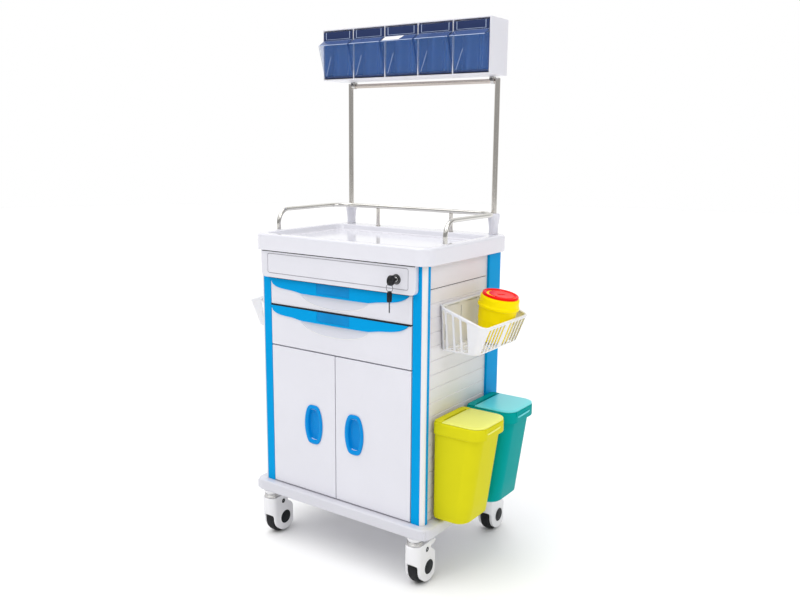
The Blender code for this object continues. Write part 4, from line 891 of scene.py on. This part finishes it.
# ================================================================ castors
TRAIL = 0.034
hood_side = flowing([(-0.024, 0.1255), (-0.0275, 0.1225), (-0.0275, 0.082), (-0.0235, 0.0715), (-0.0135, 0.0645)],
                    2)
hood_side += arc(TRAIL, 0.0530, 0.0445, 176, 402, 56)
hood_side += flowing([(0.0640, 0.0880), (0.0565, 0.0955), (0.0490, 0.0985), (0.0450, 0.1040), (0.0435, 0.1180),
                      (0.0400, 0.1255), (0.0330, 0.1255)], 2)
pedal_line = flowing([(0.0455, 0.1205), (0.0390, 0.1180), (0.0370, 0.1120), (0.0390, 0.1055), (0.0455, 0.1036),
                      (0.0640, 0.1030), (0.0790, 0.1085), (0.0815, 0.1120), (0.0780, 0.1155), (0.0640, 0.1190)],
                     2, closed=True)
for end, y in (("front", -0.206), ("rear", 0.205)):
    for side, sign in (("left", -1), ("right", 1)):
        x = sign * 0.272
        tag = f"{end}_{side}"
        body = f"castor_{tag}"
        at = Matrix.Translation((x, y, 0))
        neck = lathe(f"castor_neck_{tag}",
                     [(0.0, 0.1497), (0.0225, 0.1497), (0.0235, 0.1490), (0.0230, 0.1440), (0.0205, 0.1400),
                      (0.0200, 0.1372), (0.0, 0.1372)], at, 56)
        put(neck, CASTOR, "cabinet", "body_white", f"castor_stem_{tag}", angle=35)
        race = lathe(f"castor_race_{tag}",
                     [(0.0, 0.1368), (0.0218, 0.1368), (0.0226, 0.1362), (0.0228, 0.1350), (0.0222, 0.1338),
                      (0.0216, 0.1334), (0.0216, 0.1316), (0.0224, 0.1310), (0.0230, 0.1298), (0.0228, 0.1268),
                      (0.0222, 0.1261), (0.0, 0.1261)], at, 56)
        put(race, ZINC, "cabinet", "runner_steel", angle=35)
        hood = plate(f"castor_hood_{tag}", [hood_side], 0.050, "yz", (x, y, 0))
        plan = (arc(x, y - 0.0025, 0.02505, 180, 360, 32)
                + arc(x + 0.0130, y + 0.0640, 0.0120, 0, 90, 8) + arc(x - 0.0130, y + 0.0640, 0.0120, 90, 180, 8))
        combine(hood, plate("plan", [plan], 0.20, "xy", (0, 0, 0.08)), "INTERSECT")
        soft(hood, 0.0018, 3, 45)
        cut(hood, cylinder("well", 0.0535, 0.0335, Matrix.Translation((x, y + TRAIL, 0.050)) @ turned("x"), 72))
        if end == "front":
            cut(hood, box("slot", (x - 0.0190, x + 0.0190), (y + 0.0355, y + 0.10), (0.098, 0.14)))
        put(hood, CASTOR, body, "body_white", f"castor_housing_{tag}", angle=28)
        axle = cylinder(f"castor_axle_{tag}", 0.0042, 0.0360,
                        Matrix.Translation((x, y + TRAIL, 0.050)) @ turned("x"), 32)
        put(axle, ZINC, body, "runner_steel")
        for k, face in enumerate((-1, 1)):
            out = Matrix.Translation((x + face * 0.0262, y + TRAIL, 0.050)) @ turned("x")
            if face < 0:
                out = out @ Matrix.Rotation(math.pi, 4, "X")
            rim = lathe(f"castor_rim_{k}_{tag}",
                        [(0.0212, -0.0022), (0.0250, -0.0022), (0.0250, -0.0006), (0.0243, 0.0001),
                         (0.0222, 0.0003), (0.0214, -0.0001)], out, 64, closed=True)
            put(rim, CASTOR, body, "body_white")
            cap = lathe(f"castor_cap_{k}_{tag}",
                        [(0.0, -0.0030), (0.0211, -0.0030), (0.0211, -0.0006), (0.0204, 0.0000),
                         (0.0186, -0.0001), (0.0176, -0.0008), (0.0162, -0.0004), (0.0080, 0.0004),
                         (0.0, 0.0006)], out, 64)
            put(cap, HUB_AND_SHADE_BLACK, body, "tyre")
            spot = Matrix.Translation((x + face * 0.0256, y + 0.0250, 0.1060)) @ turned("x")
            if face < 0:
                spot = spot @ Matrix.Rotation(math.pi, 4, "X")
            pin_rim = lathe(f"castor_pin_rim_{k}_{tag}",
                            [(0.0072, -0.0020), (0.0092, -0.0020), (0.0092, -0.0002), (0.0086, 0.0003),
                             (0.0076, 0.0003), (0.0072, -0.0001)], spot, 36, closed=True)
            put(pin_rim, CASTOR, body, "body_white")
            pin = lathe(f"castor_pin_{k}_{tag}",
                        [(0.0, -0.0020), (0.0072, -0.0020), (0.0072, -0.0002), (0.0066, 0.0002),
                         (0.0036, 0.0), (0.0030, -0.0006), (0.0, -0.0006)], spot, 36)
            put(pin, HUB_AND_SHADE_BLACK, body, "tyre")
        wheel_at = Matrix.Translation((x, y + TRAIL, 0.050)) @ turned("x")
        tyre = lathe(f"castor_tyre_{tag}",
                     fillet([(0.0400, 0.0146), (0.0445, 0.0150), (0.0484, 0.0128), (0.0500, 0.0060),
                             (0.0500, 0.0030), (0.0493, 0.0024), (0.0500, 0.0018), (0.0500, -0.0018),
                             (0.0493, -0.0024), (0.0500, -0.0030), (0.0500, -0.0060), (0.0484, -0.0128),
                             (0.0445, -0.0150), (0.0400, -0.0146)], 0.0012, 3), wheel_at, 96, closed=True)
        put(tyre, TYRE, f"wheel_{tag}", "tyre", f"castor_wheel_{tag}", angle=40)
        hub = lathe(f"castor_core_{tag}",
                    [(0.0048, 0.0150), (0.0110, 0.0150), (0.0130, 0.0120), (0.0330, 0.0120), (0.0360, 0.0146),
                     (0.0399, 0.0146), (0.0399, -0.0146), (0.0360, -0.0146), (0.0330, -0.0120),
                     (0.0130, -0.0120), (0.0110, -0.0150), (0.0048, -0.0150)], wheel_at, 64, closed=True)
        put(hub, CASTOR, f"wheel_{tag}", "tyre")
        if end == "front":
            pedal = plate(f"brake_pedal_{side}_shoe", [pedal_line], 0.0362, "yz", (x, y, 0))
            soft(pedal, 0.0022, 4, 50)
            put(pedal, CASTOR, f"brake_{side}", "body_white", f"brake_pedal_{side}", angle=30)
            for k in range(3):
                yy = y + 0.0660 + k * 0.0038
                zz = 0.1186 - 0.0011 * k
                grip = tube(f"brake_grip_{k}_{side}", [(x - 0.0125, yy, zz), (x + 0.0125, yy, zz)], 0.0007, 2)
                put(grip, CASTOR, f"brake_{side}", "body_white", angle=60)


# ================================================================ baskets
BX0, BXT, BXF = 0.2893, 0.4370, 0.4060
BY, BYF = (-0.134, 0.125), (-0.119, 0.112)
FOOT, OUT, WALLZ = 0.665, 0.745, 0.795
SLOPE = (WALLZ - OUT) / (BXT - BX0)


def rim_z(x):
    return WALLZ - SLOPE * (x - BX0)


def between(a, b, t):
    return a + (b - a) * t


def basket_ring(t, inset, lift=0.0, extra=0.0):
    """t runs from the foot to the rim along the walls."""
    xf, xt = BXF - extra, BXT
    pts_low = round_rect(BX0 + inset, BXF - inset - extra, BYF[0] + inset + extra, BYF[1] - inset - extra,
                         0.018 - inset, 10)
    pts_high = round_rect(BX0 + inset, BXT - inset, BY[0] + inset, BY[1] - inset, 0.024 - inset, 10)
    return [(between(a[0], b[0], t), between(a[1], b[1], t),
             between(FOOT + lift, rim_z(b[0]), t)) for a, b in zip(pts_low, pts_high)]


rings = [basket_ring(0.0, 0.0, 0.0, 0.0045), basket_ring(0.012, 0.0, 0.0, 0.0015), basket_ring(0.05, 0.0)]
rings += [basket_ring(t, 0.0) for t in (0.30, 0.65, 0.93, 0.985)]
rings += [basket_ring(0.985, 0.0018), basket_ring(0.93, 0.0018), basket_ring(0.65, 0.0018),
          basket_ring(0.30, 0.0018), basket_ring(0.05, 0.0018, 0.0018), basket_ring(0.0, 0.0018, 0.0022, 0.0045)]
basket = loft("side_basket_right_body", rings)
tools = []
for yc in (-0.0985, -0.0790, -0.0595, -0.0400, -0.0205, 0.0150, 0.0345, 0.0540, 0.0735, 0.0930):
    tools.append(plate("s", [round_rect(yc - 0.0067, yc + 0.0067, 0.6705, 0.7378, 0.0022, 4)], 0.070, "yz",
                       (0.425, 0, 0)))
cut(basket, joined("slots_outer", *tools))
tools = []
for xa, xb in ((0.3020, 0.3100), (0.3160, 0.3330), (0.3390, 0.3560), (0.3620, 0.3790)):
    shape = fillet([(xa, 0.6715), (xb, 0.6715), (xb, rim_z(xb) - 0.0085), (xa, rim_z(xa) - 0.0085)], 0.0030, 4)
    tools.append(plate("s", [shape], 0.034, "xz", (0, -0.1240, 0)))
    tools.append(plate("s", [shape], 0.034, "xz", (0, 0.1150, 0)))
cut(basket, joined("slots_sides", *tools))
tools = []
for row, xc in enumerate((0.306, 0.327, 0.348, 0.369, 0.390)):
    for col in range(6):
        yc = -0.094 + col * 0.0365 + (0.018 if row % 2 else 0.0)
        if yc > 0.100:
            continue
        tools.append(plate("s", [round_rect(xc - 0.0050, xc + 0.0050, yc - 0.0110, yc + 0.0110, 0.0049, 6)],
                           0.030, "xy", (0, 0, 0.664)))
cut(basket, joined("slots_floor", *tools))
tools = [plate("s", [round_rect(-0.0990, -0.0950, 0.6900, 0.7830, 0.0018, 4)], 0.008, "yz", (0.2900, 0, 0)),
         plate("s", [round_rect(0.0880, 0.0920, 0.6900, 0.7830, 0.0018, 4)], 0.008, "yz", (0.2900, 0, 0)),
         plate("s", [round_rect(-0.0150, -0.0118, 0.6900, 0.7760, 0.0015, 4)], 0.008, "yz", (0.2900, 0, 0)),
         plate("s", [round_rect(-0.0850, -0.0250, 0.7835, 0.7862, 0.0013, 4)], 0.008, "yz", (0.2900, 0, 0)),
         plate("s", [round_rect(0.0150, 0.0750, 0.7835, 0.7862, 0.0013, 4)], 0.008, "yz", (0.2900, 0, 0))]
cut(basket, joined("slots_back", *tools))


def bead_path():
    inset = 0.0038
    pts = round_rect(BX0 + inset, BXT - inset, BY[0] + inset, BY[1] - inset, 0.024 - inset, 10)
    return [(x, y, rim_z(x) - 0.0034) for x, y in pts]


bead = tube("side_basket_right_rim", bead_path(), 0.0038, 6, cyclic=True)
shadow = joined("side_basket_right_shadow", box("a", (0.28945, 0.2899), (-0.0985, -0.0955), (0.6905, 0.7350)),
                box("b", (0.28945, 0.2899), (-0.0985, -0.0955), (0.7420, 0.7820)),
                box("c", (0.28945, 0.2899), (-0.0146, -0.0122), (0.6905, 0.7755)),
                box("d", (0.28945, 0.2899), (0.0885, 0.0915), (0.6905, 0.7820)))
flange = plate("side_basket_right_flange", [round_rect(0.2895, 0.3010, -0.1260, 0.1170, 0.0040, 6)], 0.0024,
               "xy", (0, 0, 0.7918))
soft(flange, 0.0008, 2)
left = [mirrored(o, o.name.replace("right", "left")) for o in (basket, bead, flange, shadow)]
for o, name in zip(left, ("side_basket_left",) + (None,) * 3):
    o.data.transform(Matrix.Translation((0, 0.0075, -0.0235)))
    put(o, HUB_AND_SHADE_BLACK if "shadow" in o.name else BASKET, "cabinet", "tray_white", *((name,) if name else ()), angle=30)
for o, name in zip((basket, bead, flange, shadow), ("side_basket_right",) + (None,) * 3):
    put(o, HUB_AND_SHADE_BLACK if "shadow" in o.name else BASKET, "cabinet", "tray_white", *((name,) if name else ()), angle=30)

# ================================================================ sharps container
lean = Matrix.Translation((0.360, 0.045, 0.6755)) @ Matrix.Rotation(math.radians(10.0), 4, "Y")
profile = [(0.0, 0.0020), (0.0398, 0.0020), (0.0503, 0.0700), (0.0528, 0.0990), (0.0546, 0.1080),
           (0.0540, 0.1235), (0.0465, 0.1270), (0.0465, 0.1299), (0.0515, 0.1299), (0.0545, 0.1284),
           (0.0556, 0.1240), (0.0560, 0.1110), (0.0572, 0.1068), (0.0590, 0.1050), (0.0590, 0.0992),
           (0.0578, 0.0976), (0.0540, 0.0960), (0.0525, 0.0700), (0.0422, 0.0040), (0.0405, 0.0008),
           (0.0380, 0.0), (0.0, 0.0)]
profile = fillet(profile, 0.0016, 4, closed=False)
put(lathe("sharps_tub", profile, lean, 112), YELLOW, "sharps", "sharps_yellow", "sharps_container", angle=42)
for k, z in enumerate((0.0300, 0.0620)):
    r = between(0.0424, 0.0525, z / 0.0700)
    put(lathe(f"sharps_ring_{k}", [(r - 0.0006, z - 0.0012), (r + 0.0004, z - 0.0007), (r + 0.0006, z),
                                   (r + 0.0006, z + 0.0007), (r - 0.0004, z + 0.0012)], lean, 96, closed=True),
        YELLOW, "sharps", "sharps_yellow", angle=50)
lid = [(0.0, 0.1326), (0.0395, 0.1326), (0.0405, 0.1334), (0.0432, 0.1350), (0.0448, 0.1363), (0.0466, 0.1369),
       (0.0490, 0.1369), (0.0504, 0.1362), (0.0512, 0.1350), (0.0512, 0.1306), (0.0508, 0.1303), (0.0, 0.1303)]
put(lathe("sharps_cap_disc", fillet(lid, 0.0008, 3, closed=False), lean, 112), RED, "sharps_cap", "sharps_red",
    "sharps_lid", angle=42)
put(lathe("sharps_cap_seat", [(0.0, 0.1332), (0.0392, 0.1332), (0.0398, 0.1329), (0.0398, 0.1322), (0.0, 0.1322)],
          lean, 96), YELLOW, "sharps_cap", "sharps_yellow", angle=42)
shutter = lathe("sharps_cap_shutter",
                [(0.0, 0.1344), (0.0250, 0.1345), (0.0330, 0.1350), (0.0352, 0.1353), (0.0362, 0.1348),
                 (0.0364, 0.1338), (0.0360, 0.1330), (0.0, 0.1330)],
                lean @ Matrix.Translation((0.0024, 0.0026, 0.0)), 96)
put(shutter, RED, "sharps_cap", "sharps_red", angle=42)
tab = plate("sharps_cap_tab", [round_rect(-0.0120, 0.0120, -0.0040, 0.0040, 0.0038, 8)], 0.0016, "xy",
            (0.004, 0.003, 0.1348))
soft(tab, 0.0005, 3)
tab.data.transform(lean @ Matrix.Rotation(math.radians(62), 4, "Z"))
put(tab, RED, "sharps_cap", "sharps_red")

# ================================================================ waste bins
X0 = 0.2975
BAND = 0.4486


def d_shape(x0, x1, y0, y1, r_wall, r_out, steps=14):
    """A rounded rectangle with small corners at the wall, large ones outside."""
    points = []
    for cx, cy, start, r in ((x1 - r_out, y1 - r_out, 0, r_out), (x0 + r_wall, y1 - r_wall, 90, r_wall),
                             (x0 + r_wall, y0 + r_wall, 180, r_wall), (x1 - r_out, y0 + r_out, 270, r_out)):
        points += [(cx + r * math.cos(math.radians(start + 90 * i / steps)),
                    cy + r * math.sin(math.radians(start + 90 * i / steps))) for i in range(steps + 1)]
    return points


for tag, (a, b), mat, mat_lid_lit, mat_slot_shade, slot in (
        ("front", (-0.1650, -0.0055), LIME, LIME_LID_LIT, LIME_SLOT_SHADE, "waste_lime"),
        ("rear", (0.0115, 0.1705), TEAL, TEAL_LID_LIT, TEAL_SLOT_SHADE, "waste_teal")):
    zb, zm, zt = 0.1885, 0.442, 0.476

    def bin_ring(x0, x1, pad, r_wall, r_out, z):
        return [(x, y, z) for x, y in d_shape(x0, x1, a + pad, b - pad, r_wall, r_out)]

    def wall(t, inset=0.0):
        """t runs up the tapering wall."""
        return bin_ring(X0 + inset, between(0.402, 0.4370, t) - inset, between(0.0070, 0.0055, t) + inset,
                        0.0105 - inset, between(0.036, 0.040, t) - inset, between(zb + 0.010, zm, t))

    rings = [bin_ring(X0 + 0.0060, 0.3830, 0.0230, 0.0060, 0.0220, zb),
             bin_ring(X0 + 0.0025, 0.3890, 0.0170, 0.0080, 0.0290, zb + 0.0006),
             bin_ring(X0 + 0.0008, 0.3935, 0.0130, 0.0095, 0.0325, zb + 0.0024),
             bin_ring(X0, 0.3980, 0.0095, 0.0103, 0.0350, zb + 0.0055), wall(0.0), wall(0.25), wall(0.5),
             wall(0.75), wall(0.97), wall(0.995)]
    rings += [bin_ring(X0, 0.4440, 0.0020, 0.0110, 0.0405, zm - 0.0002),
              bin_ring(X0, BAND - 0.0008, 0.0005, 0.0112, 0.0410, zm + 0.0008),
              bin_ring(X0, BAND, 0.0, 0.0115, 0.0415, zm + 0.0030),
              bin_ring(X0, BAND - 0.0003, 0.0003, 0.0115, 0.0412, zt - 0.0070)]
    for deg in (18, 36, 54, 72, 90):
        k = math.radians(deg)
        inset = 0.0003 + 0.0050 * (1 - math.cos(k))
        rings.append(bin_ring(X0 + 0.0003, BAND - inset, inset, 0.0110, 0.0412 - inset,
                              zt - 0.0060 + 0.0060 * math.sin(k)))
    rings += [bin_ring(X0 + 0.0350, BAND - 0.0105, 0.0110, 0.0100, 0.0310, zt),
              bin_ring(X0 + 0.0353, BAND - 0.0110, 0.0115, 0.0098, 0.0305, zt - 0.0030),
              bin_ring(X0 + 0.0024, BAND - 0.0050, 0.0045, 0.0090, 0.0360, zt - 0.0064),
              bin_ring(X0 + 0.0024, BAND - 0.0055, 0.0048, 0.0090, 0.0360, zm + 0.0050), wall(0.97, 0.0024),
              wall(0.5, 0.0024), wall(0.0, 0.0024),
              bin_ring(X0 + 0.0030, 0.3870, 0.0180, 0.0070, 0.0280, zb + 0.0028)]
    put(loft(f"waste_{tag}_tub", rings), mat, "cabinet", slot, f"waste_bin_{tag}", angle=38, weighted=False)
    pad = soft(box(f"waste_{tag}_hook", (0.2893, X0 + 0.0010), (a + 0.030, a + 0.110), (0.400, 0.436)), 0.0012, 2)
    put(pad, mat, "cabinet", slot)
    # the fixed strip of the lid beside the wall, with its hinge slot
    ledge = [(x, y) for x, y in d_shape(X0 + 0.0018, 0.3246, a + 0.0030, b - 0.0030, 0.0100, 0.0006, 8)]
    strip_obj = soft(plate(f"waste_{tag}_ledge", [ledge], 0.0040, "xy", (0, 0, zt + 0.0013)), 0.0014, 3, 50)
    cut(strip_obj, plate("slot", [round_rect(0.3192, 0.3236, a + 0.022, b - 0.022, 0.0020, 6)], 0.010, "xy",
                         (0, 0, zt + 0.0060)))
    put(strip_obj, mat, "cabinet", slot, angle=30)
    # painted shade: a dark plate in the hinge slot
    put(plate(f"waste_{tag}_slot_floor", [round_rect(0.3193, 0.3235, a + 0.0222, b - 0.0222, 0.0019, 6)], 0.0006,
              "xy", (0, 0, zt + 0.0012)), mat_slot_shade, "cabinet", slot)
    body = f"{tag}_flap"
    rings = []
    for inset, z in ((0.0030, 0.0004), (0.0005, 0.0004), (0.0, 0.0010), (0.0, 0.0022), (0.0006, 0.0031),
                     (0.0018, 0.0036), (0.0048, 0.0036), (0.0058, 0.0040), (0.0068, 0.0046), (0.0085, 0.0048),
                     (0.0120, 0.0047), (0.0200, 0.0049), (0.0330, 0.0051)):
        grow = min(inset, 0.0058) if inset > 0.0058 else inset
        rings.append([(x, y, zt + z) for x, y in
                      d_shape(0.3257 + min(inset, 0.0100 + inset * 0.5), 0.4476 - inset, a + 0.0028 + inset,
                              b - 0.0028 - inset, max(0.0008, 0.0010 + inset * 0.4),
                              max(0.0060, 0.0385 - inset), 12)])
    # the flap's colour carries painted glare of the light on its top
    put(loft(f"waste_{tag}_flap_top", rings), mat_lid_lit, body, slot, f"waste_flap_{tag}", angle=45, weighted=False)
    # rolled pull on the outer face of the rim, in the lighter lid colour as a painted highlight
    ya, yb = a + 0.0400, a + 0.1080
    bar = [(0.4440, ya - 0.0020, zt - 0.0165), (0.4478, ya, zt - 0.0165), (0.4498, ya + 0.0050, zt - 0.0160),
           (0.4499, (ya + yb) / 2, zt - 0.0150), (0.4498, yb - 0.0050, zt - 0.0145),
           (0.4478, yb, zt - 0.0145), (0.4440, yb + 0.0020, zt - 0.0145)]
    put(tube(f"waste_{tag}_grip", flowing(bar, 2), 0.0021, 4), mat_lid_lit, "cabinet", slot, angle=60)
    notch = soft(box(f"waste_{tag}_catch", (0.4400, 0.4492), (a + 0.0300, a + 0.0345), (zt - 0.0140, zt + 0.0002)),
                 0.0012, 3)
    put(notch, mat, "cabinet", slot)

# ================================================================ the CAD pieces that stay
FINISH = {"body_white": WHITE, "tray_white": TRAY, "body_blue": BLUE, "stainless_tube": RAIL,
          "runner_steel": ZINC, "key_black": BLACK, "key_steel": DARK_STEEL, "bin_blue": BIN, "tyre": TYRE,
          "sharps_yellow": YELLOW, "sharps_red": RED, "waste_lime": LIME, "waste_teal": TEAL}
SLOT_OF = {s["node"]: s.get("material_slot", s["node"]) for s in frame["record"]["subparts"]}
for node, obj in frame["nodes"].items():
    mat = FINISH[SLOT_OF[node]]
    obj.data.materials.clear()
    obj.data.materials.append(mat)

# ================================================================ stage
floor_mat, nt, bsdf = material("studio_floor")
mottle = noise(nt, 1.2, 3.0)
link(nt, two_colours(nt, mottle, (0.93, 0.93, 0.93), (0.96, 0.96, 0.96)), bsdf.inputs["Base Color"])
link(nt, spread(nt, mottle, 0.70, 0.80), bsdf.inputs["Roughness"])
bsdf.inputs["Specular IOR Level"].default_value = 0.1
bsdf.inputs["Emission Color"].default_value = (1.0, 1.0, 1.0, 1.0)
bsdf.inputs["Emission Strength"].default_value = 0.0
bm = bmesh.new()
bmesh.ops.create_circle(bm, cap_ends=True, radius=14.0, segments=96)
floor = from_bm("studio_floor", bm, Matrix.Translation((0, 0, -0.0003)))
if floor.data.polygons[0].normal.z < 0:
    floor.data.flip_normals()
floor.data.materials.append(floor_mat)

world = bpy.data.worlds.new("studio")
world.use_nodes = True
SCENE.world = world
wt = world.node_tree
back = wt.nodes["Background"]
where = wt.nodes.new("ShaderNodeTexCoord")
behind = wt.nodes.new("ShaderNodeVectorMath")
behind.operation = "DOT_PRODUCT"
behind.inputs[1].default_value = (-0.574, 0.819, 0.0)
link(wt, where.outputs["Generated"], behind.inputs[0])
height = wt.nodes.new("ShaderNodeSeparateXYZ")
link(wt, where.outputs["Generated"], height.inputs[0])
sides = wt.nodes.new("ShaderNodeMapRange")
sides.interpolation_type = "SMOOTHSTEP"
sides.inputs["From Min"].default_value = 0.05
sides.inputs["From Max"].default_value = 0.86
sides.inputs["To Min"].default_value = 0.42
sides.inputs["To Max"].default_value = 1.0
link(wt, behind.outputs["Value"], sides.inputs["Value"])
over = wt.nodes.new("ShaderNodeMapRange")
over.interpolation_type = "SMOOTHSTEP"
over.inputs["From Min"].default_value = 0.25
over.inputs["From Max"].default_value = 0.95
over.inputs["To Min"].default_value = 0.0
over.inputs["To Max"].default_value = 0.40
link(wt, height.outputs["Z"], over.inputs["Value"])
total = wt.nodes.new("ShaderNodeMath")
total.operation = "ADD"
link(wt, sides.outputs["Result"], total.inputs[0])
link(wt, over.outputs["Result"], total.inputs[1])
back.inputs["Color"].default_value = (1.0, 1.0, 1.0, 1.0)
link(wt, total.outputs["Value"], back.inputs["Strength"])


def area(name, energy, size, location, target, colour=(1, 1, 1)):
    data = bpy.data.lights.new(name, "AREA")
    data.energy = energy
    data.size = size
    data.color = colour
    obj = bpy.data.objects.new(name, data)
    ROOM.objects.link(obj)
    obj.location = location
    obj.rotation_euler = (Vector(target) - Vector(location)).to_track_quat("-Z", "Y").to_euler()
    return obj


area("key", 13.0, 1.8, (0.1, -2.7, 2.9), (0.0, 0.0, 0.7))
area("fill", 18.0, 1.6, (2.9, -0.6, 2.6), (0.2, 0.0, 0.7))
sun = bpy.data.lights.new("sky_panel", "SUN")
sun.energy = 1.30
sun.angle = math.radians(62)
sun_obj = bpy.data.objects.new("sky_panel", sun)
ROOM.objects.link(sun_obj)
sun_obj.rotation_euler = (math.radians(18), math.radians(-10), 0.0)

camera = bpy.data.objects.new("camera", bpy.data.cameras.new("camera"))
ROOM.objects.link(camera)
yaw, pitch_angle, roll = -0.6103, -0.189, 0.0078
forward = Vector((math.sin(yaw) * math.cos(pitch_angle), math.cos(yaw) * math.cos(pitch_angle),
                  math.sin(pitch_angle)))
right = forward.cross(Vector((0, 0, 1))).normalized()
up = right.cross(forward).normalized()
r2 = right * math.cos(roll) + up * math.sin(roll)
u2 = -right * math.sin(roll) + up * math.cos(roll)
basis = Matrix((r2, u2, -forward)).transposed().to_4x4()
camera.matrix_world = Matrix.Translation((1.4581, -1.9833 - 0.010, 1.2253)) @ basis
camera.data.lens = 37.23
camera.data.sensor_width = 36.0
camera.data.clip_start = 0.05
camera.data.clip_end = 60.0
SCENE.camera = camera
SCENE.view_settings.view_transform = "Standard"
